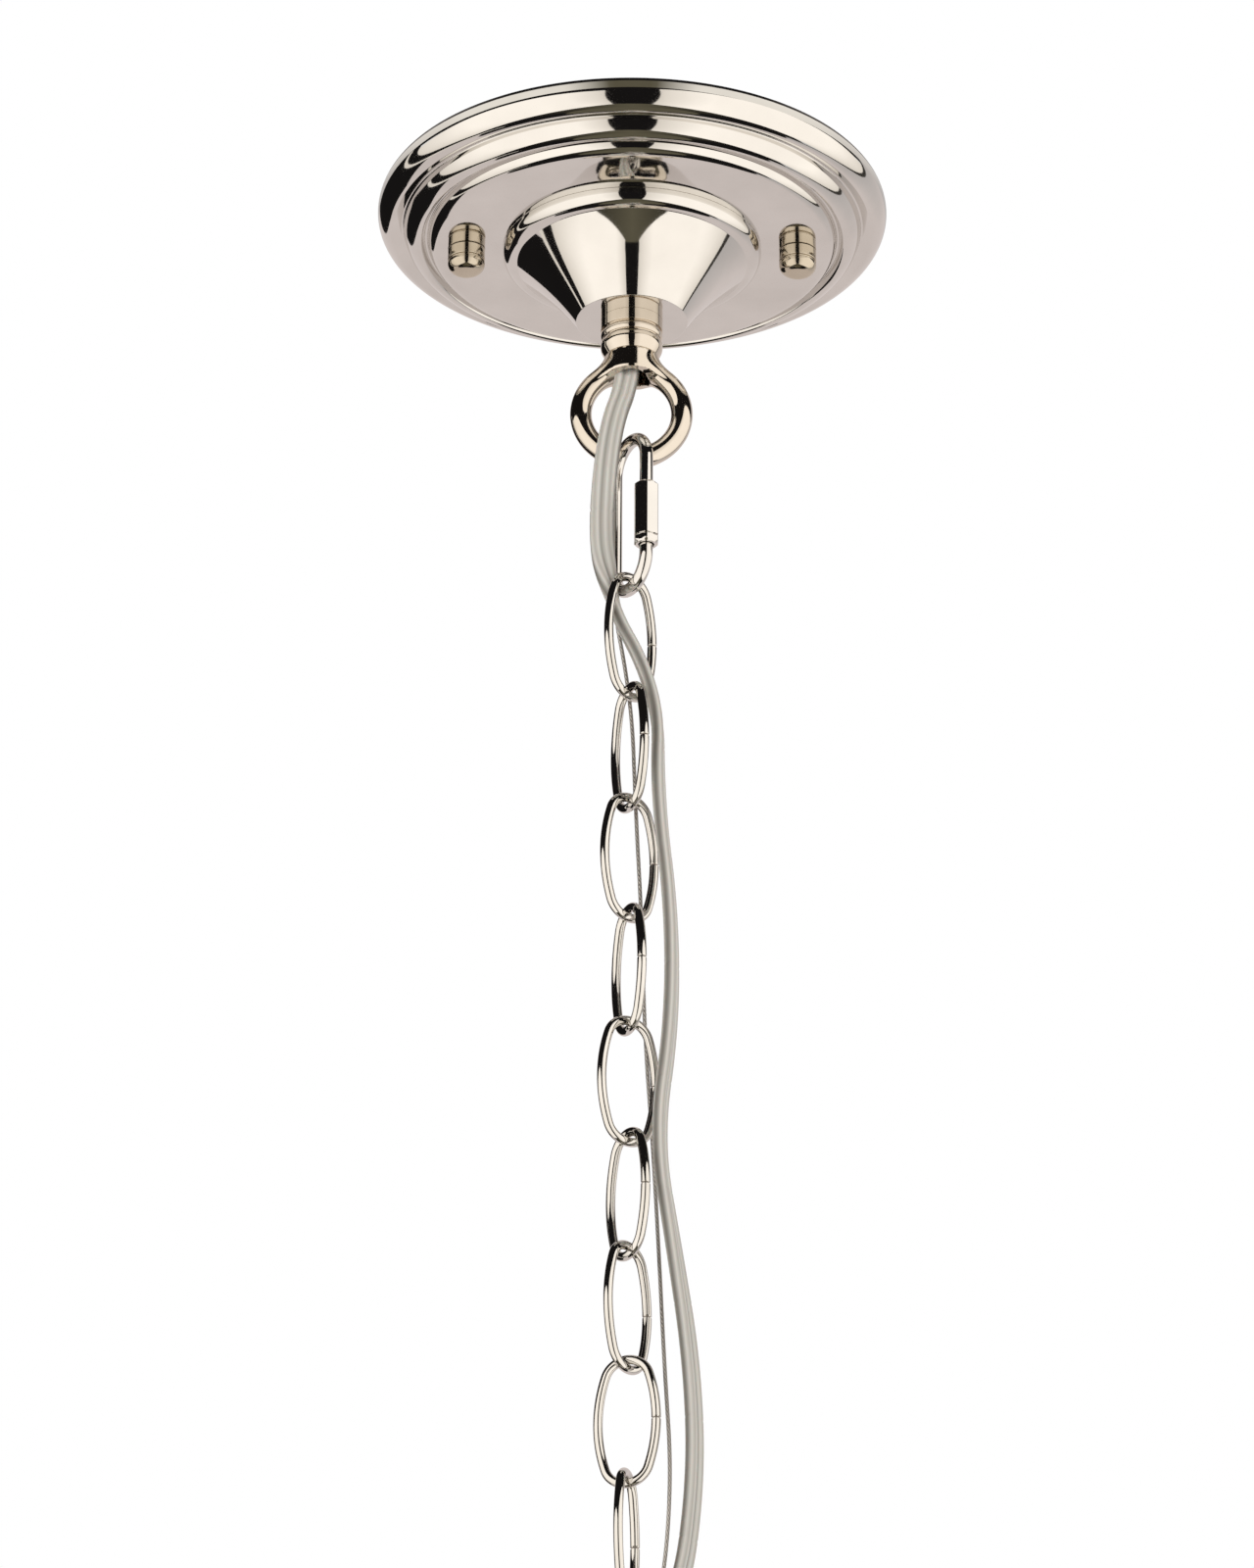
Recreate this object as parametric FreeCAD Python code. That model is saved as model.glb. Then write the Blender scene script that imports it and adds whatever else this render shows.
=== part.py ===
import FreeCAD, Part
import math
import os

# Ceiling canopy with a cast loop, a quick link, an oval chain, a flat cord and an earth wire.
# Millimetres, +Z up. The ceiling is the plane z = 0 and everything hangs below it.

os.makedirs("parts", exist_ok=True)
Vec = FreeCAD.Vector
DOWN = Vec(0, 0, -1)
UP = Vec(0, 0, 1)

# Fits
RUNNING_GAP = 0.3
SEAT_GAP = 0.1
NEST_GAP = 0.05
STUD_HOLE_GAP = 0.3

# Canopy shell: three ridges from the rim inwards, each a long round flank with a tight crest
RIM_R = 65.0
RIDGE_INSETS = (5.4, 12.2, 16.4)
RIDGE_DEPTHS = (3.9, 7.6, 10.9)
RIDGE_RADII = (5.4, 5.6, 3.6)
RIDGE_END = 65.0
CREST_R = 1.2
VALLEY_R = 0.5
VALLEY_END = 8.0
SHEET = 0.9

# Canopy cone
FLANGE_R = 33.0
FLANGE_LIP = 0.8
FLANGE_ROUND = 3.2
CONE_LEDGE = 0.4
CONE_END_R = 14.2
CONE_LENGTH = 20.9
CONE_DISH = 0.9

# Threaded nipples of 9.5 mm, with washers and nuts; the lower one ends in an M10 x 1 thread for the lamp
NIPPLE_R = 4.75
NIPPLE_BORE_R = 3.9
NIPPLE_IN_LOOP = 9.0
NIPPLE_PROUD = 1.0
LAMP_END_R = 5.0
LAMP_END_LENGTH = 13.6
LAMP_END_DROP = 0.4
WASHER_R = 9.0
WASHER_T = 1.0
NIPPLE_NUT_AF = 14.0
NIPPLE_NUT_T = 2.6

# Cast loops
NECK_R = 7.9
NECK_COLLAR = 3.0
GROOVE_W = 0.5
GROOVE_DEPTH = 0.7
BEAD_W = (2.0, 3.1)
WAIST_R = 6.7
WAIST_TAPER = 1.4
RING_DROP = 26.9
RING_TUBE_R = 2.75
RING_HOLE_R = 10.1
RING_BLEND = 2.4
NECK_FOOT = 16.2
CORD_BORE_R = 4.6

# Mounting bracket, studs, cap nuts and earth screw
STRAP_LENGTH = 104.0
STRAP_W = 16.0
STRAP_T = 1.6
STRAP_HOLE_R = 6.5
SLOT_SPACING = 60.0
SLOT_LENGTH = 12.0
SLOT_R = 2.3
STUD_SPACING = 84.6
STUD_R = 2.0
STUD_IN_NUT = 4.0
LOCK_NUT_AF = 7.0
LOCK_NUT_T = 2.4
CAP_R = 4.75
CAP_SKIRT = 3.0
CAP_GROOVE_W = 0.5
CAP_GROOVE_DEPTH = 0.5
CAP_HEIGHT = 6.6
CAP_ROUND = 2.6
EARTH_SCREW_X = 20.0
EARTH_SCREW_R = 1.9
EARTH_HEAD_R = 3.6
EARTH_HEAD_T = 2.2
EARTH_DRIVE_W = 0.8

# Quick link
QL_ROD_R = 1.7
QL_HALF_W = 7.3
QL_INNER_LENGTH = 39.0
HOOK_GAP = 0.4
QL_TURN = -58.0
GATE_GAP = 5.9
SLEEVE_DROP = 8.3
SLEEVE_LENGTH = 17.5
SLEEVE_LAP = 0.5
SLEEVE_AF = 6.0
SLEEVE_CHAMFER = 0.35
SLEEVE_GROOVE_W = 0.6
SLEEVE_GROOVE_DEPTH = 0.35
SLEEVE_GROOVE_UP = 2.4

# Oval chain: each link's turn about the chain's own line, from the top
LINK_WIRE_R = 1.1
LINK_HALF_W = 7.5
LINK_INNER_LENGTH = 31.8
LINK_END_R = 5.8
LINK_SEAM = 0.25
LINK_TURNS = (43.0, -61.0, 34.0, -64.5, 26.6, -54.6, 49.8, -16.0, 73.7)
LOWER_LOOP_TURN = -16.3

# Cords
CORD_R = 2.2
EARTH_R = 0.5
CORE_R = 1.0
CONNECTOR_R = 4.4
CONNECTOR_TIP_R = 3.4
CONNECTOR_LENGTH = 15.0
CONNECTOR_X = 8.0
CONNECTOR_Y = -17.0
CONNECTOR_Z = -4.9
LEAD_TURN_Z = -4.0
LEAD_STRAIGHT = 3.0
TAIL_DROP = 4.5
TAIL_BENDS = (12.0, 7.0)
TAIL_PAST_SCREW = 2.4
TAIL_DIP = 1.2
ARC_SHARE = 0.45
CORD_IN_NIPPLE = 9.4
CORD_BELOW_SEAT = 4.0
MOUTH_RISE = 11.7

# Levels that follow from the sizes above
FLAT_Z = -RIDGE_DEPTHS[-1] - RIDGE_RADII[-1]
CONE_END_Z = FLAT_Z - CONE_LENGTH
RING_MID_R = RING_HOLE_R + RING_TUBE_R
RING_Z = CONE_END_Z - RING_DROP
RING_FLOOR_Z = RING_Z - RING_HOLE_R
QL_TOP_Z = RING_FLOOR_Z + HOOK_GAP
QL_FLOOR_Z = QL_TOP_Z - QL_INNER_LENGTH
LINK_PITCH = LINK_INNER_LENGTH - RUNNING_GAP
NIPPLE_BOTTOM_Z = CONE_END_Z - NIPPLE_IN_LOOP
STUD_X = STUD_SPACING / 2.0


def link_top(number):
    """Height of the inner top of chain link 1, 2, 3 ..."""
    return QL_FLOOR_Z + RUNNING_GAP - (number - 1) * LINK_PITCH


LAST_FLOOR_Z = link_top(len(LINK_TURNS)) - LINK_INNER_LENGTH
LOWER_RING_Z = LAST_FLOOR_Z + RUNNING_GAP - RING_HOLE_R
LOWER_SEAT_Z = LOWER_RING_Z - RING_DROP
CORD_TOP_Z = CONE_END_Z + CORD_IN_NIPPLE
CORD_FOOT_Z = LOWER_SEAT_Z - CORD_BELOW_SEAT


def save(name, shape):
    """Writes one piece and prints its volume and box."""
    shape.exportStep("parts/" + name + ".step")
    box = shape.BoundBox
    print("%-20s valid %s solids %d volume %.1f z %.1f..%.1f" % (
        name, shape.isValid(), len(shape.Solids), shape.Volume, box.ZMin, box.ZMax))


def line(x1, z1, x2, z2):
    """Straight edge of a turned profile."""
    return Part.makeLine(Vec(x1, 0, z1), Vec(x2, 0, z2))


def bow(x1, z1, xm, zm, x2, z2):
    """Arc of a turned profile through three points."""
    return Part.Arc(Vec(x1, 0, z1), Vec(xm, 0, zm), Vec(x2, 0, z2)).toShape()


def quarter(r_mid, z_mid, radius):
    """Outer lower quarter round about a centre, from its side to its foot."""
    diag = radius * math.sqrt(0.5)
    return bow(r_mid + radius, z_mid, r_mid + diag, z_mid - diag, r_mid, z_mid - radius)


def turned(edges):
    """Solid of revolution about Z from the edges of a closed profile."""
    wire = Part.Wire(Part.__sortEdges__(edges))
    return Part.Face(wire).revolve(Vec(0, 0, 0), UP, 360)


def disc(radius, thickness, top_z, x=0.0, y=0.0):
    """Upright cylinder given by its top."""
    return Part.makeCylinder(radius, thickness, Vec(x, y, top_z), DOWN)


def hexagon(across_flats, height, top_z, x=0.0, y=0.0):
    """Upright hexagonal bar given by its top."""
    corner_r = across_flats / math.sqrt(3.0)
    corners = []
    for step in range(7):
        angle = math.radians(60.0 * step)
        corners.append(Vec(x + corner_r * math.cos(angle), y + corner_r * math.sin(angle), top_z))
    return Part.Face(Part.makePolygon(corners)).extrude(DOWN * height)


def off_mid(mid, radius, angle):
    """Point at a distance from a centre, angle in degrees from outwards towards down."""
    turn = math.radians(angle)
    return mid[0] + radius * math.cos(turn), mid[1] - radius * math.sin(turn)


def round_edge(mid, radius, start, end):
    """Arc of a turned profile between two angles."""
    return bow(*off_mid(mid, radius, start), *off_mid(mid, radius, (start + end) / 2.0), *off_mid(mid, radius, end))


def ridge_edges(inset):
    """Outline of the ridges from the ceiling to the flat face, moved inwards by an inset."""
    mids = [(RIM_R - across, -depth) for across, depth in zip(RIDGE_INSETS, RIDGE_DEPTHS)]
    start = -math.degrees(math.asin(RIDGE_DEPTHS[0] / (RIDGE_RADII[0] - inset)))
    edges = []
    for index in range(len(mids) - 1):
        edges.append(round_edge(mids[index], RIDGE_RADII[index] - inset, start, RIDGE_END))
        crest = off_mid(mids[index], RIDGE_RADII[index] - CREST_R, RIDGE_END)
        valley = off_mid(mids[index + 1], RIDGE_RADII[index + 1] + VALLEY_R, VALLEY_END)
        apart = (valley[0] - crest[0], valley[1] - crest[1])
        way = math.degrees(math.atan2(-apart[1], apart[0])) % 360.0
        turn = way - math.degrees(math.acos((CREST_R + VALLEY_R) / math.hypot(*apart)))
        edges.append(round_edge(crest, CREST_R - inset, RIDGE_END, turn))
        edges.append(line(*off_mid(crest, CREST_R - inset, turn), *off_mid(valley, -VALLEY_R - inset, turn)))
        edges.append(round_edge(valley, -VALLEY_R - inset, turn, VALLEY_END))
        start = VALLEY_END
    edges.append(round_edge(mids[-1], RIDGE_RADII[-1] - inset, start, 90.0))
    return edges


def canopy_shell():
    """Spun dish: a rolled rim and three ridges round the flat face."""
    hole_r = NIPPLE_R + NEST_GAP
    flat_r = RIM_R - RIDGE_INSETS[-1]
    rim_mid = RIM_R - RIDGE_INSETS[0]
    rim_out = rim_mid + math.sqrt(RIDGE_RADII[0] ** 2 - RIDGE_DEPTHS[0] ** 2)
    rim_in = rim_mid + math.sqrt((RIDGE_RADII[0] - SHEET) ** 2 - RIDGE_DEPTHS[0] ** 2)
    print("rim meets the ceiling from %.3f to %.3f" % (rim_in, rim_out))
    closing = [
        line(rim_out, 0, rim_in, 0),
        line(flat_r, FLAT_Z, hole_r, FLAT_Z),
        line(hole_r, FLAT_Z, hole_r, FLAT_Z + SHEET),
        line(hole_r, FLAT_Z + SHEET, flat_r, FLAT_Z + SHEET),
    ]
    shell = turned(ridge_edges(0.0) + ridge_edges(SHEET) + closing)
    for x in (-STUD_X, STUD_X):
        shell = shell.cut(disc(STUD_R + STUD_HOLE_GAP, 4 * SHEET, FLAT_Z + 2 * SHEET, x))
    return shell


def canopy_cone():
    """Spun cone cover with a rounded flange and a flat lower end."""
    flange_in = FLANGE_R - FLANGE_ROUND
    shoulder_z = FLAT_Z - FLANGE_LIP
    foot_z = shoulder_z - FLANGE_ROUND
    r_top = flange_in - CONE_LEDGE
    run_r = r_top - CONE_END_R
    run_z = foot_z - CONE_END_Z
    slant = math.hypot(run_r, run_z)
    r_mid = (r_top + CONE_END_R) / 2.0 - CONE_DISH * run_z / slant
    z_mid = (foot_z + CONE_END_Z) / 2.0 + CONE_DISH * run_r / slant
    side = SHEET * slant / run_z
    hole_r = NIPPLE_R + NEST_GAP
    edges = [
        line(FLANGE_R, FLAT_Z, FLANGE_R, shoulder_z),
        quarter(flange_in, shoulder_z, FLANGE_ROUND),
        line(flange_in, foot_z, r_top, foot_z),
        bow(r_top, foot_z, r_mid, z_mid, CONE_END_R, CONE_END_Z),
        line(CONE_END_R, CONE_END_Z, hole_r, CONE_END_Z),
        line(hole_r, CONE_END_Z, hole_r, CONE_END_Z + SHEET),
        line(hole_r, CONE_END_Z + SHEET, CONE_END_R - side, CONE_END_Z + SHEET),
        bow(CONE_END_R - side, CONE_END_Z + SHEET, r_mid - side, z_mid + SHEET / 2.0,
            r_top - side, foot_z + SHEET),
        line(r_top - side, foot_z + SHEET, flange_in, foot_z + SHEET),
        quarter(flange_in, shoulder_z, FLANGE_ROUND - SHEET),
        line(FLANGE_R - SHEET, shoulder_z, FLANGE_R - SHEET, FLAT_Z),
        line(FLANGE_R - SHEET, FLAT_Z, FLANGE_R, FLAT_Z),
    ]
    return turned(edges)


def neck_edges():
    """Turned profile of a loop's neck, seat at z = 0: collar, two beads, waist."""
    edges = [line(0, 0, NECK_R, 0), line(NECK_R, 0, NECK_R, -NECK_COLLAR)]
    z = -NECK_COLLAR
    for width in BEAD_W:
        low_r = NECK_R - GROOVE_DEPTH
        edges.append(line(NECK_R, z, low_r, z))
        edges.append(line(low_r, z, low_r, z - GROOVE_W))
        z -= GROOVE_W
        edges.append(line(low_r, z, NECK_R - GROOVE_DEPTH / 2.0, z))
        edges.append(bow(NECK_R - GROOVE_DEPTH / 2.0, z, NECK_R, z - width / 2.0,
                         NECK_R - GROOVE_DEPTH / 2.0, z - width))
        z -= width
        if width is not BEAD_W[-1]:
            edges.append(line(NECK_R - GROOVE_DEPTH / 2.0, z, NECK_R, z))
    edges.append(line(NECK_R - GROOVE_DEPTH / 2.0, z, WAIST_R, z - WAIST_TAPER))
    edges.append(line(WAIST_R, z - WAIST_TAPER, WAIST_R, -NECK_FOOT))
    edges.append(line(WAIST_R, -NECK_FOOT, 0, -NECK_FOOT))
    edges.append(line(0, -NECK_FOOT, 0, 0))
    return edges


def cast_loop():
    """Ring in the XZ plane under a turned neck, tapped at the seat, with a bore for the cord."""
    neck = turned(neck_edges())
    ring = Part.makeTorus(RING_MID_R, RING_TUBE_R, Vec(0, 0, -RING_DROP), Vec(0, 1, 0))
    body = neck.fuse(ring).removeSplitter()
    seams = []
    for edge in body.Edges:
        standing = edge.BoundBox.ZLength > RING_TUBE_R / 2.0
        if standing and edge.Curve.TypeId == "Part::GeomBSplineCurve":
            seams.append(edge)
    body = body.makeFillet(RING_BLEND, seams)
    tapped = disc(NIPPLE_R + NEST_GAP, NIPPLE_IN_LOOP, 0)
    bore = disc(CORD_BORE_R, RING_DROP, 0)
    return body.cut(tapped).cut(bore)


def nipple(length, top_z):
    """Hollow threaded tube given by its top."""
    return disc(NIPPLE_R, length, top_z).cut(disc(NIPPLE_BORE_R, length, top_z))


def lower_nipple():
    """Nipple in the lower loop with a thicker end below its seat."""
    length = NIPPLE_IN_LOOP + LAMP_END_DROP + LAMP_END_LENGTH
    top_z = LOWER_SEAT_Z + NIPPLE_IN_LOOP
    end = disc(LAMP_END_R, LAMP_END_LENGTH, LOWER_SEAT_Z - LAMP_END_DROP)
    bar = disc(NIPPLE_R, length, top_z).fuse(end).removeSplitter()
    return bar.cut(disc(NIPPLE_BORE_R, length, top_z))


def washer(top_z):
    """Flat washer on a nipple."""
    return disc(WASHER_R, WASHER_T, top_z).cut(disc(NIPPLE_R + NEST_GAP, WASHER_T, top_z))


def nipple_nut(top_z):
    """Thin hexagonal nut on a nipple."""
    return hexagon(NIPPLE_NUT_AF, NIPPLE_NUT_T, top_z).cut(disc(NIPPLE_R + NEST_GAP, NIPPLE_NUT_T, top_z))


def slot(x):
    """Slot along X through the strap."""
    half = SLOT_LENGTH / 2.0 - SLOT_R
    bar = Part.makeBox(2 * half, 2 * SLOT_R, STRAP_T, Vec(x - half, -SLOT_R, -STRAP_T))
    return bar.fuse([disc(SLOT_R, STRAP_T, 0, x - half), disc(SLOT_R, STRAP_T, 0, x + half)])


def mounting_bracket():
    """Flat strap with round ends, a middle opening, two slots and three tapped holes."""
    half = STRAP_LENGTH / 2.0 - STRAP_W / 2.0
    strap = Part.makeBox(2 * half, STRAP_W, STRAP_T, Vec(-half, -STRAP_W / 2.0, -STRAP_T))
    strap = strap.fuse([disc(STRAP_W / 2.0, STRAP_T, 0, -half), disc(STRAP_W / 2.0, STRAP_T, 0, half)])
    strap = strap.removeSplitter()
    cuts = [disc(STRAP_HOLE_R, STRAP_T, 0), disc(EARTH_SCREW_R + NEST_GAP, STRAP_T, 0, EARTH_SCREW_X)]
    for side in (-1, 1):
        cuts.append(slot(side * SLOT_SPACING / 2.0))
        cuts.append(disc(STUD_R + NEST_GAP, STRAP_T, 0, side * STUD_X))
    for tool in cuts:
        strap = strap.cut(tool)
    return strap


def studs():
    """Two studs from the strap down into the cap nuts."""
    length = -FLAT_Z + SEAT_GAP + STUD_IN_NUT
    return Part.makeCompound([disc(STUD_R, length, 0, x) for x in (-STUD_X, STUD_X)])


def stud_lock_nuts():
    """Two hexagonal nuts that lock the studs under the strap."""
    nuts = []
    for x in (-STUD_X, STUD_X):
        nut = hexagon(LOCK_NUT_AF, LOCK_NUT_T, -STRAP_T, x)
        nuts.append(nut.cut(disc(STUD_R + NEST_GAP, LOCK_NUT_T, -STRAP_T, x)))
    return Part.makeCompound(nuts)


def cap_nut(x):
    """Blind knob on a stud: skirt, groove, rounded end."""
    skirt_z = -CAP_SKIRT
    low_r = CAP_R - CAP_GROOVE_DEPTH
    head_z = skirt_z - CAP_GROOVE_W
    edges = [
        line(0, 0, CAP_R, 0),
        line(CAP_R, 0, CAP_R, skirt_z),
        line(CAP_R, skirt_z, low_r, skirt_z),
        line(low_r, skirt_z, low_r, head_z),
        line(low_r, head_z, CAP_R, head_z),
        line(CAP_R, head_z, CAP_R, -CAP_HEIGHT + CAP_ROUND),
        quarter(CAP_R - CAP_ROUND, -CAP_HEIGHT + CAP_ROUND, CAP_ROUND),
        line(CAP_R - CAP_ROUND, -CAP_HEIGHT, 0, -CAP_HEIGHT),
        line(0, -CAP_HEIGHT, 0, 0),
    ]
    nut = turned(edges)
    nut = nut.cut(disc(STUD_R + RUNNING_GAP, STUD_IN_NUT + RUNNING_GAP, 0))
    nut.translate(Vec(x, 0, FLAT_Z - SEAT_GAP))
    return nut


def earth_screw():
    """Round-headed screw under the strap, clear of it by the wire that it clamps."""
    under = STRAP_T + 2 * EARTH_R + 2 * NEST_GAP
    shank = disc(EARTH_SCREW_R, under, 0, EARTH_SCREW_X)
    head = disc(EARTH_HEAD_R, EARTH_HEAD_T, -under, EARTH_SCREW_X)
    drive = Part.makeBox(2 * EARTH_HEAD_R, EARTH_DRIVE_W, EARTH_HEAD_T / 2.0,
                         Vec(EARTH_SCREW_X - EARTH_HEAD_R, -EARTH_DRIVE_W / 2.0, -under - EARTH_HEAD_T))
    return shank.fuse(head).removeSplitter().cut(drive)


def rod(pieces, radius):
    """Round rod along straight pieces (start, end) and arcs (start, middle, end)."""
    solids = []
    for piece in pieces:
        if len(piece) == 2:
            way = piece[1].sub(piece[0])
            solids.append(Part.makeCylinder(radius, way.Length, piece[0], way))
            continue
        edge = Part.Arc(*piece).toShape()
        tangent = edge.tangentAt(edge.FirstParameter)
        face = Part.Face(Part.Wire(Part.makeCircle(radius, piece[0], tangent)))
        angle = math.degrees(edge.LastParameter - edge.FirstParameter)
        solids.append(face.revolve(edge.Curve.Center, edge.Curve.Axis, angle))
    if len(solids) == 1:
        return solids[0]
    return solids[0].multiFuse(solids[1:]).removeSplitter()


def placed(shape, turn, z):
    """Shape turned about Z, then lifted to a height."""
    copy = shape.copy()
    copy.rotate(Vec(0, 0, 0), UP, turn)
    copy.translate(Vec(0, 0, z))
    return copy


def chain_link():
    """Oval of bent wire in the XZ plane, inner top at z = 0, with a butt seam in one leg."""
    half_h = LINK_INNER_LENGTH / 2.0 + LINK_WIRE_R
    end_z = half_h - LINK_END_R
    side_r = (LINK_HALF_W ** 2 - LINK_END_R ** 2 + end_z ** 2) / (2 * (LINK_HALF_W - LINK_END_R))
    side_x = side_r - LINK_HALF_W
    lean = math.asin(end_z / (side_r - LINK_END_R))

    def on_side(angle, side):
        return Vec(side * (side_r * math.cos(angle) - side_x), 0, side_r * math.sin(angle))

    def on_end(angle, end):
        return Vec(LINK_END_R * math.cos(angle), 0, end * (end_z + LINK_END_R * math.sin(angle)))

    seam = LINK_SEAM / 2.0 / side_r
    pieces = [
        (on_side(seam, 1), on_side((seam + lean) / 2, 1), on_side(lean, 1)),
        (on_side(lean, 1), on_end(math.pi / 2, 1), on_side(lean, -1)),
        (on_side(lean, -1), on_side(0, -1), on_side(-lean, -1)),
        (on_side(-lean, -1), on_end(math.pi / 2, -1), on_side(-lean, 1)),
        (on_side(-lean, 1), on_side(-(seam + lean) / 2, 1), on_side(-seam, 1)),
    ]
    link = rod(pieces, LINK_WIRE_R)
    link.translate(Vec(0, 0, -LINK_INNER_LENGTH / 2.0))
    return link


def sleeve_top():
    """Height of the closed sleeve's top below the quick link's inner top."""
    return QL_ROD_R - QL_HALF_W - SLEEVE_DROP


def quick_link():
    """Long oval of rod in the XZ plane, inner top at z = 0, its right leg open at the gate."""
    mid_top = QL_ROD_R - QL_HALF_W
    mid_low = -QL_INNER_LENGTH - mid_top
    gate_low = sleeve_top() - SLEEVE_LENGTH + SLEEVE_LAP
    gate_top = gate_low + GATE_GAP
    w = QL_HALF_W
    pieces = [
        (Vec(w, 0, gate_top), Vec(w, 0, mid_top)),
        (Vec(w, 0, mid_top), Vec(0, 0, mid_top + w), Vec(-w, 0, mid_top)),
        (Vec(-w, 0, mid_top), Vec(-w, 0, mid_low)),
        (Vec(-w, 0, mid_low), Vec(0, 0, mid_low - w), Vec(w, 0, mid_low)),
        (Vec(w, 0, mid_low), Vec(w, 0, gate_low)),
    ]
    return rod(pieces, QL_ROD_R)


def quick_link_sleeve():
    """Hexagonal screw sleeve over the gate, chamfered, with a ring groove near its foot."""
    top = sleeve_top()
    foot = top - SLEEVE_LENGTH
    corner_r = SLEEVE_AF / math.sqrt(3.0)
    bar = hexagon(SLEEVE_AF, SLEEVE_LENGTH, top)
    drop = corner_r - SLEEVE_AF / 2.0 + SLEEVE_CHAMFER
    envelope = turned([
        line(0, top, corner_r - drop, top),
        line(corner_r - drop, top, corner_r, top - drop),
        line(corner_r, top - drop, corner_r, foot + drop),
        line(corner_r, foot + drop, corner_r - drop, foot),
        line(corner_r - drop, foot, 0, foot),
        line(0, foot, 0, top),
    ])
    bar = bar.common(envelope)
    groove_z = foot + SLEEVE_GROOVE_UP
    groove = disc(2 * corner_r, SLEEVE_GROOVE_W, groove_z)
    groove = groove.cut(disc(SLEEVE_AF / 2.0 - SLEEVE_GROOVE_DEPTH, SLEEVE_GROOVE_W, groove_z))
    bar = bar.cut(groove).cut(disc(QL_ROD_R + RUNNING_GAP, SLEEVE_LENGTH, top))
    bar.translate(Vec(QL_HALF_W, 0, 0))
    return bar


def joint_level(number):
    """Height of joint 0 (quick link on loop), 1 (link 1 on quick link), 2 ..."""
    if number == 0:
        return RING_FLOOR_Z
    return QL_FLOOR_Z - (number - 1) * LINK_PITCH


def cord_route():
    """Flat cord: out of the upper loop, through link 1, down the right side, into the lower loop."""
    beside = [(-6.3, -7.1), (-8.2, 0.2), (7.2, -0.4), (7.0, -2.4), (10.6, -2.6), (10.8, -1.6),
              (6.8, -0.6), (11.5, -2.2), (16.0, -2.0), (17.2, -0.6), (13.2, 4.4)]
    route = [Vec(0, -0.9, CORD_TOP_Z), Vec(0.2, -0.88, RING_Z + MOUTH_RISE)]
    for number, spot in enumerate(beside):
        route.append(Vec(spot[0], spot[1], joint_level(number)))
    route.append(Vec(-0.2, -0.88, LOWER_RING_Z - MOUTH_RISE))
    route.append(Vec(0, -0.9, CORD_FOOT_Z))
    return route


def earth_route():
    """Earth wire: behind the cord, through links 1 and 2, then inside the cord's bends."""
    beside = [(-8.1, 4.8), (-5.3, 2.2), (0.4, 4.6), (1.5, 3.8), (3.2, 5.4), (4.0, 5.0),
              (6.2, 5.6), (7.8, 2.6), (9.2, 0.4), (11.2, 0.8), (8.6, 6.2)]
    route = [Vec(0, 2.9, CORD_TOP_Z), Vec(0.1, 2.84, RING_Z + MOUTH_RISE)]
    for number, spot in enumerate(beside):
        route.append(Vec(spot[0], spot[1], joint_level(number)))
    route.append(Vec(-0.2, 2.84, LOWER_RING_Z - MOUTH_RISE))
    route.append(Vec(0, 2.9, CORD_FOOT_Z))
    return route


def corners(route):
    """Tangent arc at each inner point of a route: start, middle, end, radius."""
    arcs = []
    for before, corner, after in zip(route, route[1:], route[2:]):
        way_in = corner.sub(before)
        way_out = after.sub(corner)
        tangent = ARC_SHARE * min(way_in.Length, way_out.Length)
        turn = way_in.getAngle(way_out)
        radius = tangent / math.tan(turn / 2.0)
        way_in.normalize()
        way_out.normalize()
        inward = way_out.sub(way_in)
        inward.normalize()
        middle = corner + inward * (radius / math.cos(turn / 2.0) - radius)
        arcs.append((corner - way_in * tangent, middle, corner + way_out * tangent, radius))
    return arcs


def stretches(route, name, radius, first, last):
    """Saves a cord as one tube per joint, cut at the middles of the straight runs."""
    arcs = corners(route)
    print(name, "arc radii", ", ".join("%.0f" % arc[3] for arc in arcs))
    groups = [list(range(first + 1))]
    for index in range(first + 1, last):
        groups.append([index])
    groups.append(list(range(last, len(arcs))))
    tubes = []
    for number, group in enumerate(groups):
        start = (route[group[0]] + route[group[0] + 1]) * 0.5
        end = (route[group[-1] + 1] + route[group[-1] + 2]) * 0.5
        if number == 0:
            start = route[0]
        if number == len(groups) - 1:
            end = route[-1]
        pieces = []
        at = start
        length = 0.0
        for index in group:
            arc = arcs[index]
            pieces.append((at, arc[0]))
            pieces.append(arc[:3])
            length += arc[0].sub(at).Length + Part.Arc(*arc[:3]).toShape().Length
            at = arc[2]
        pieces.append((at, end))
        length += end.sub(at).Length
        tube = rod(pieces, radius)
        print("%s_%02d length %.1f volume ratio %.4f" % (
            name, number, length, tube.Volume / (math.pi * radius ** 2 * length)))
        save("%s_%02d" % (name, number), tube)
        tubes.append(tube)
    return tubes


def rounded_rod(route, radius):
    """Short rod along a route with tangent arcs."""
    pieces = []
    at = route[0]
    for arc in corners(route):
        pieces.append((at, arc[0]))
        pieces.append(arc[:3])
        at = arc[2]
    pieces.append((at, route[-1]))
    return rod(pieces, radius)


def lead_end(side):
    """Where a core lead enters its wire connector, and the way that it points."""
    return Vec(side * CONNECTOR_X, CONNECTOR_Y, CONNECTOR_Z), Vec(side * 0.4, -1.0, -0.04)


def core_leads():
    """Two cores from the cord's end in the nipple, up and over to the wire connectors."""
    leads = []
    for side in (-1, 1):
        end, way = lead_end(side)
        way.normalize()
        inner = end + way * (CONNECTOR_LENGTH / 2.0)
        foot = cord_route()[0] + Vec(side * (CORE_R + NEST_GAP), 0, SEAT_GAP)
        route = [foot, Vec(foot.x, foot.y, LEAD_TURN_Z), end - way * LEAD_STRAIGHT, inner]
        leads.append(rounded_rod(route, CORE_R))
    return Part.makeCompound(leads)


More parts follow.
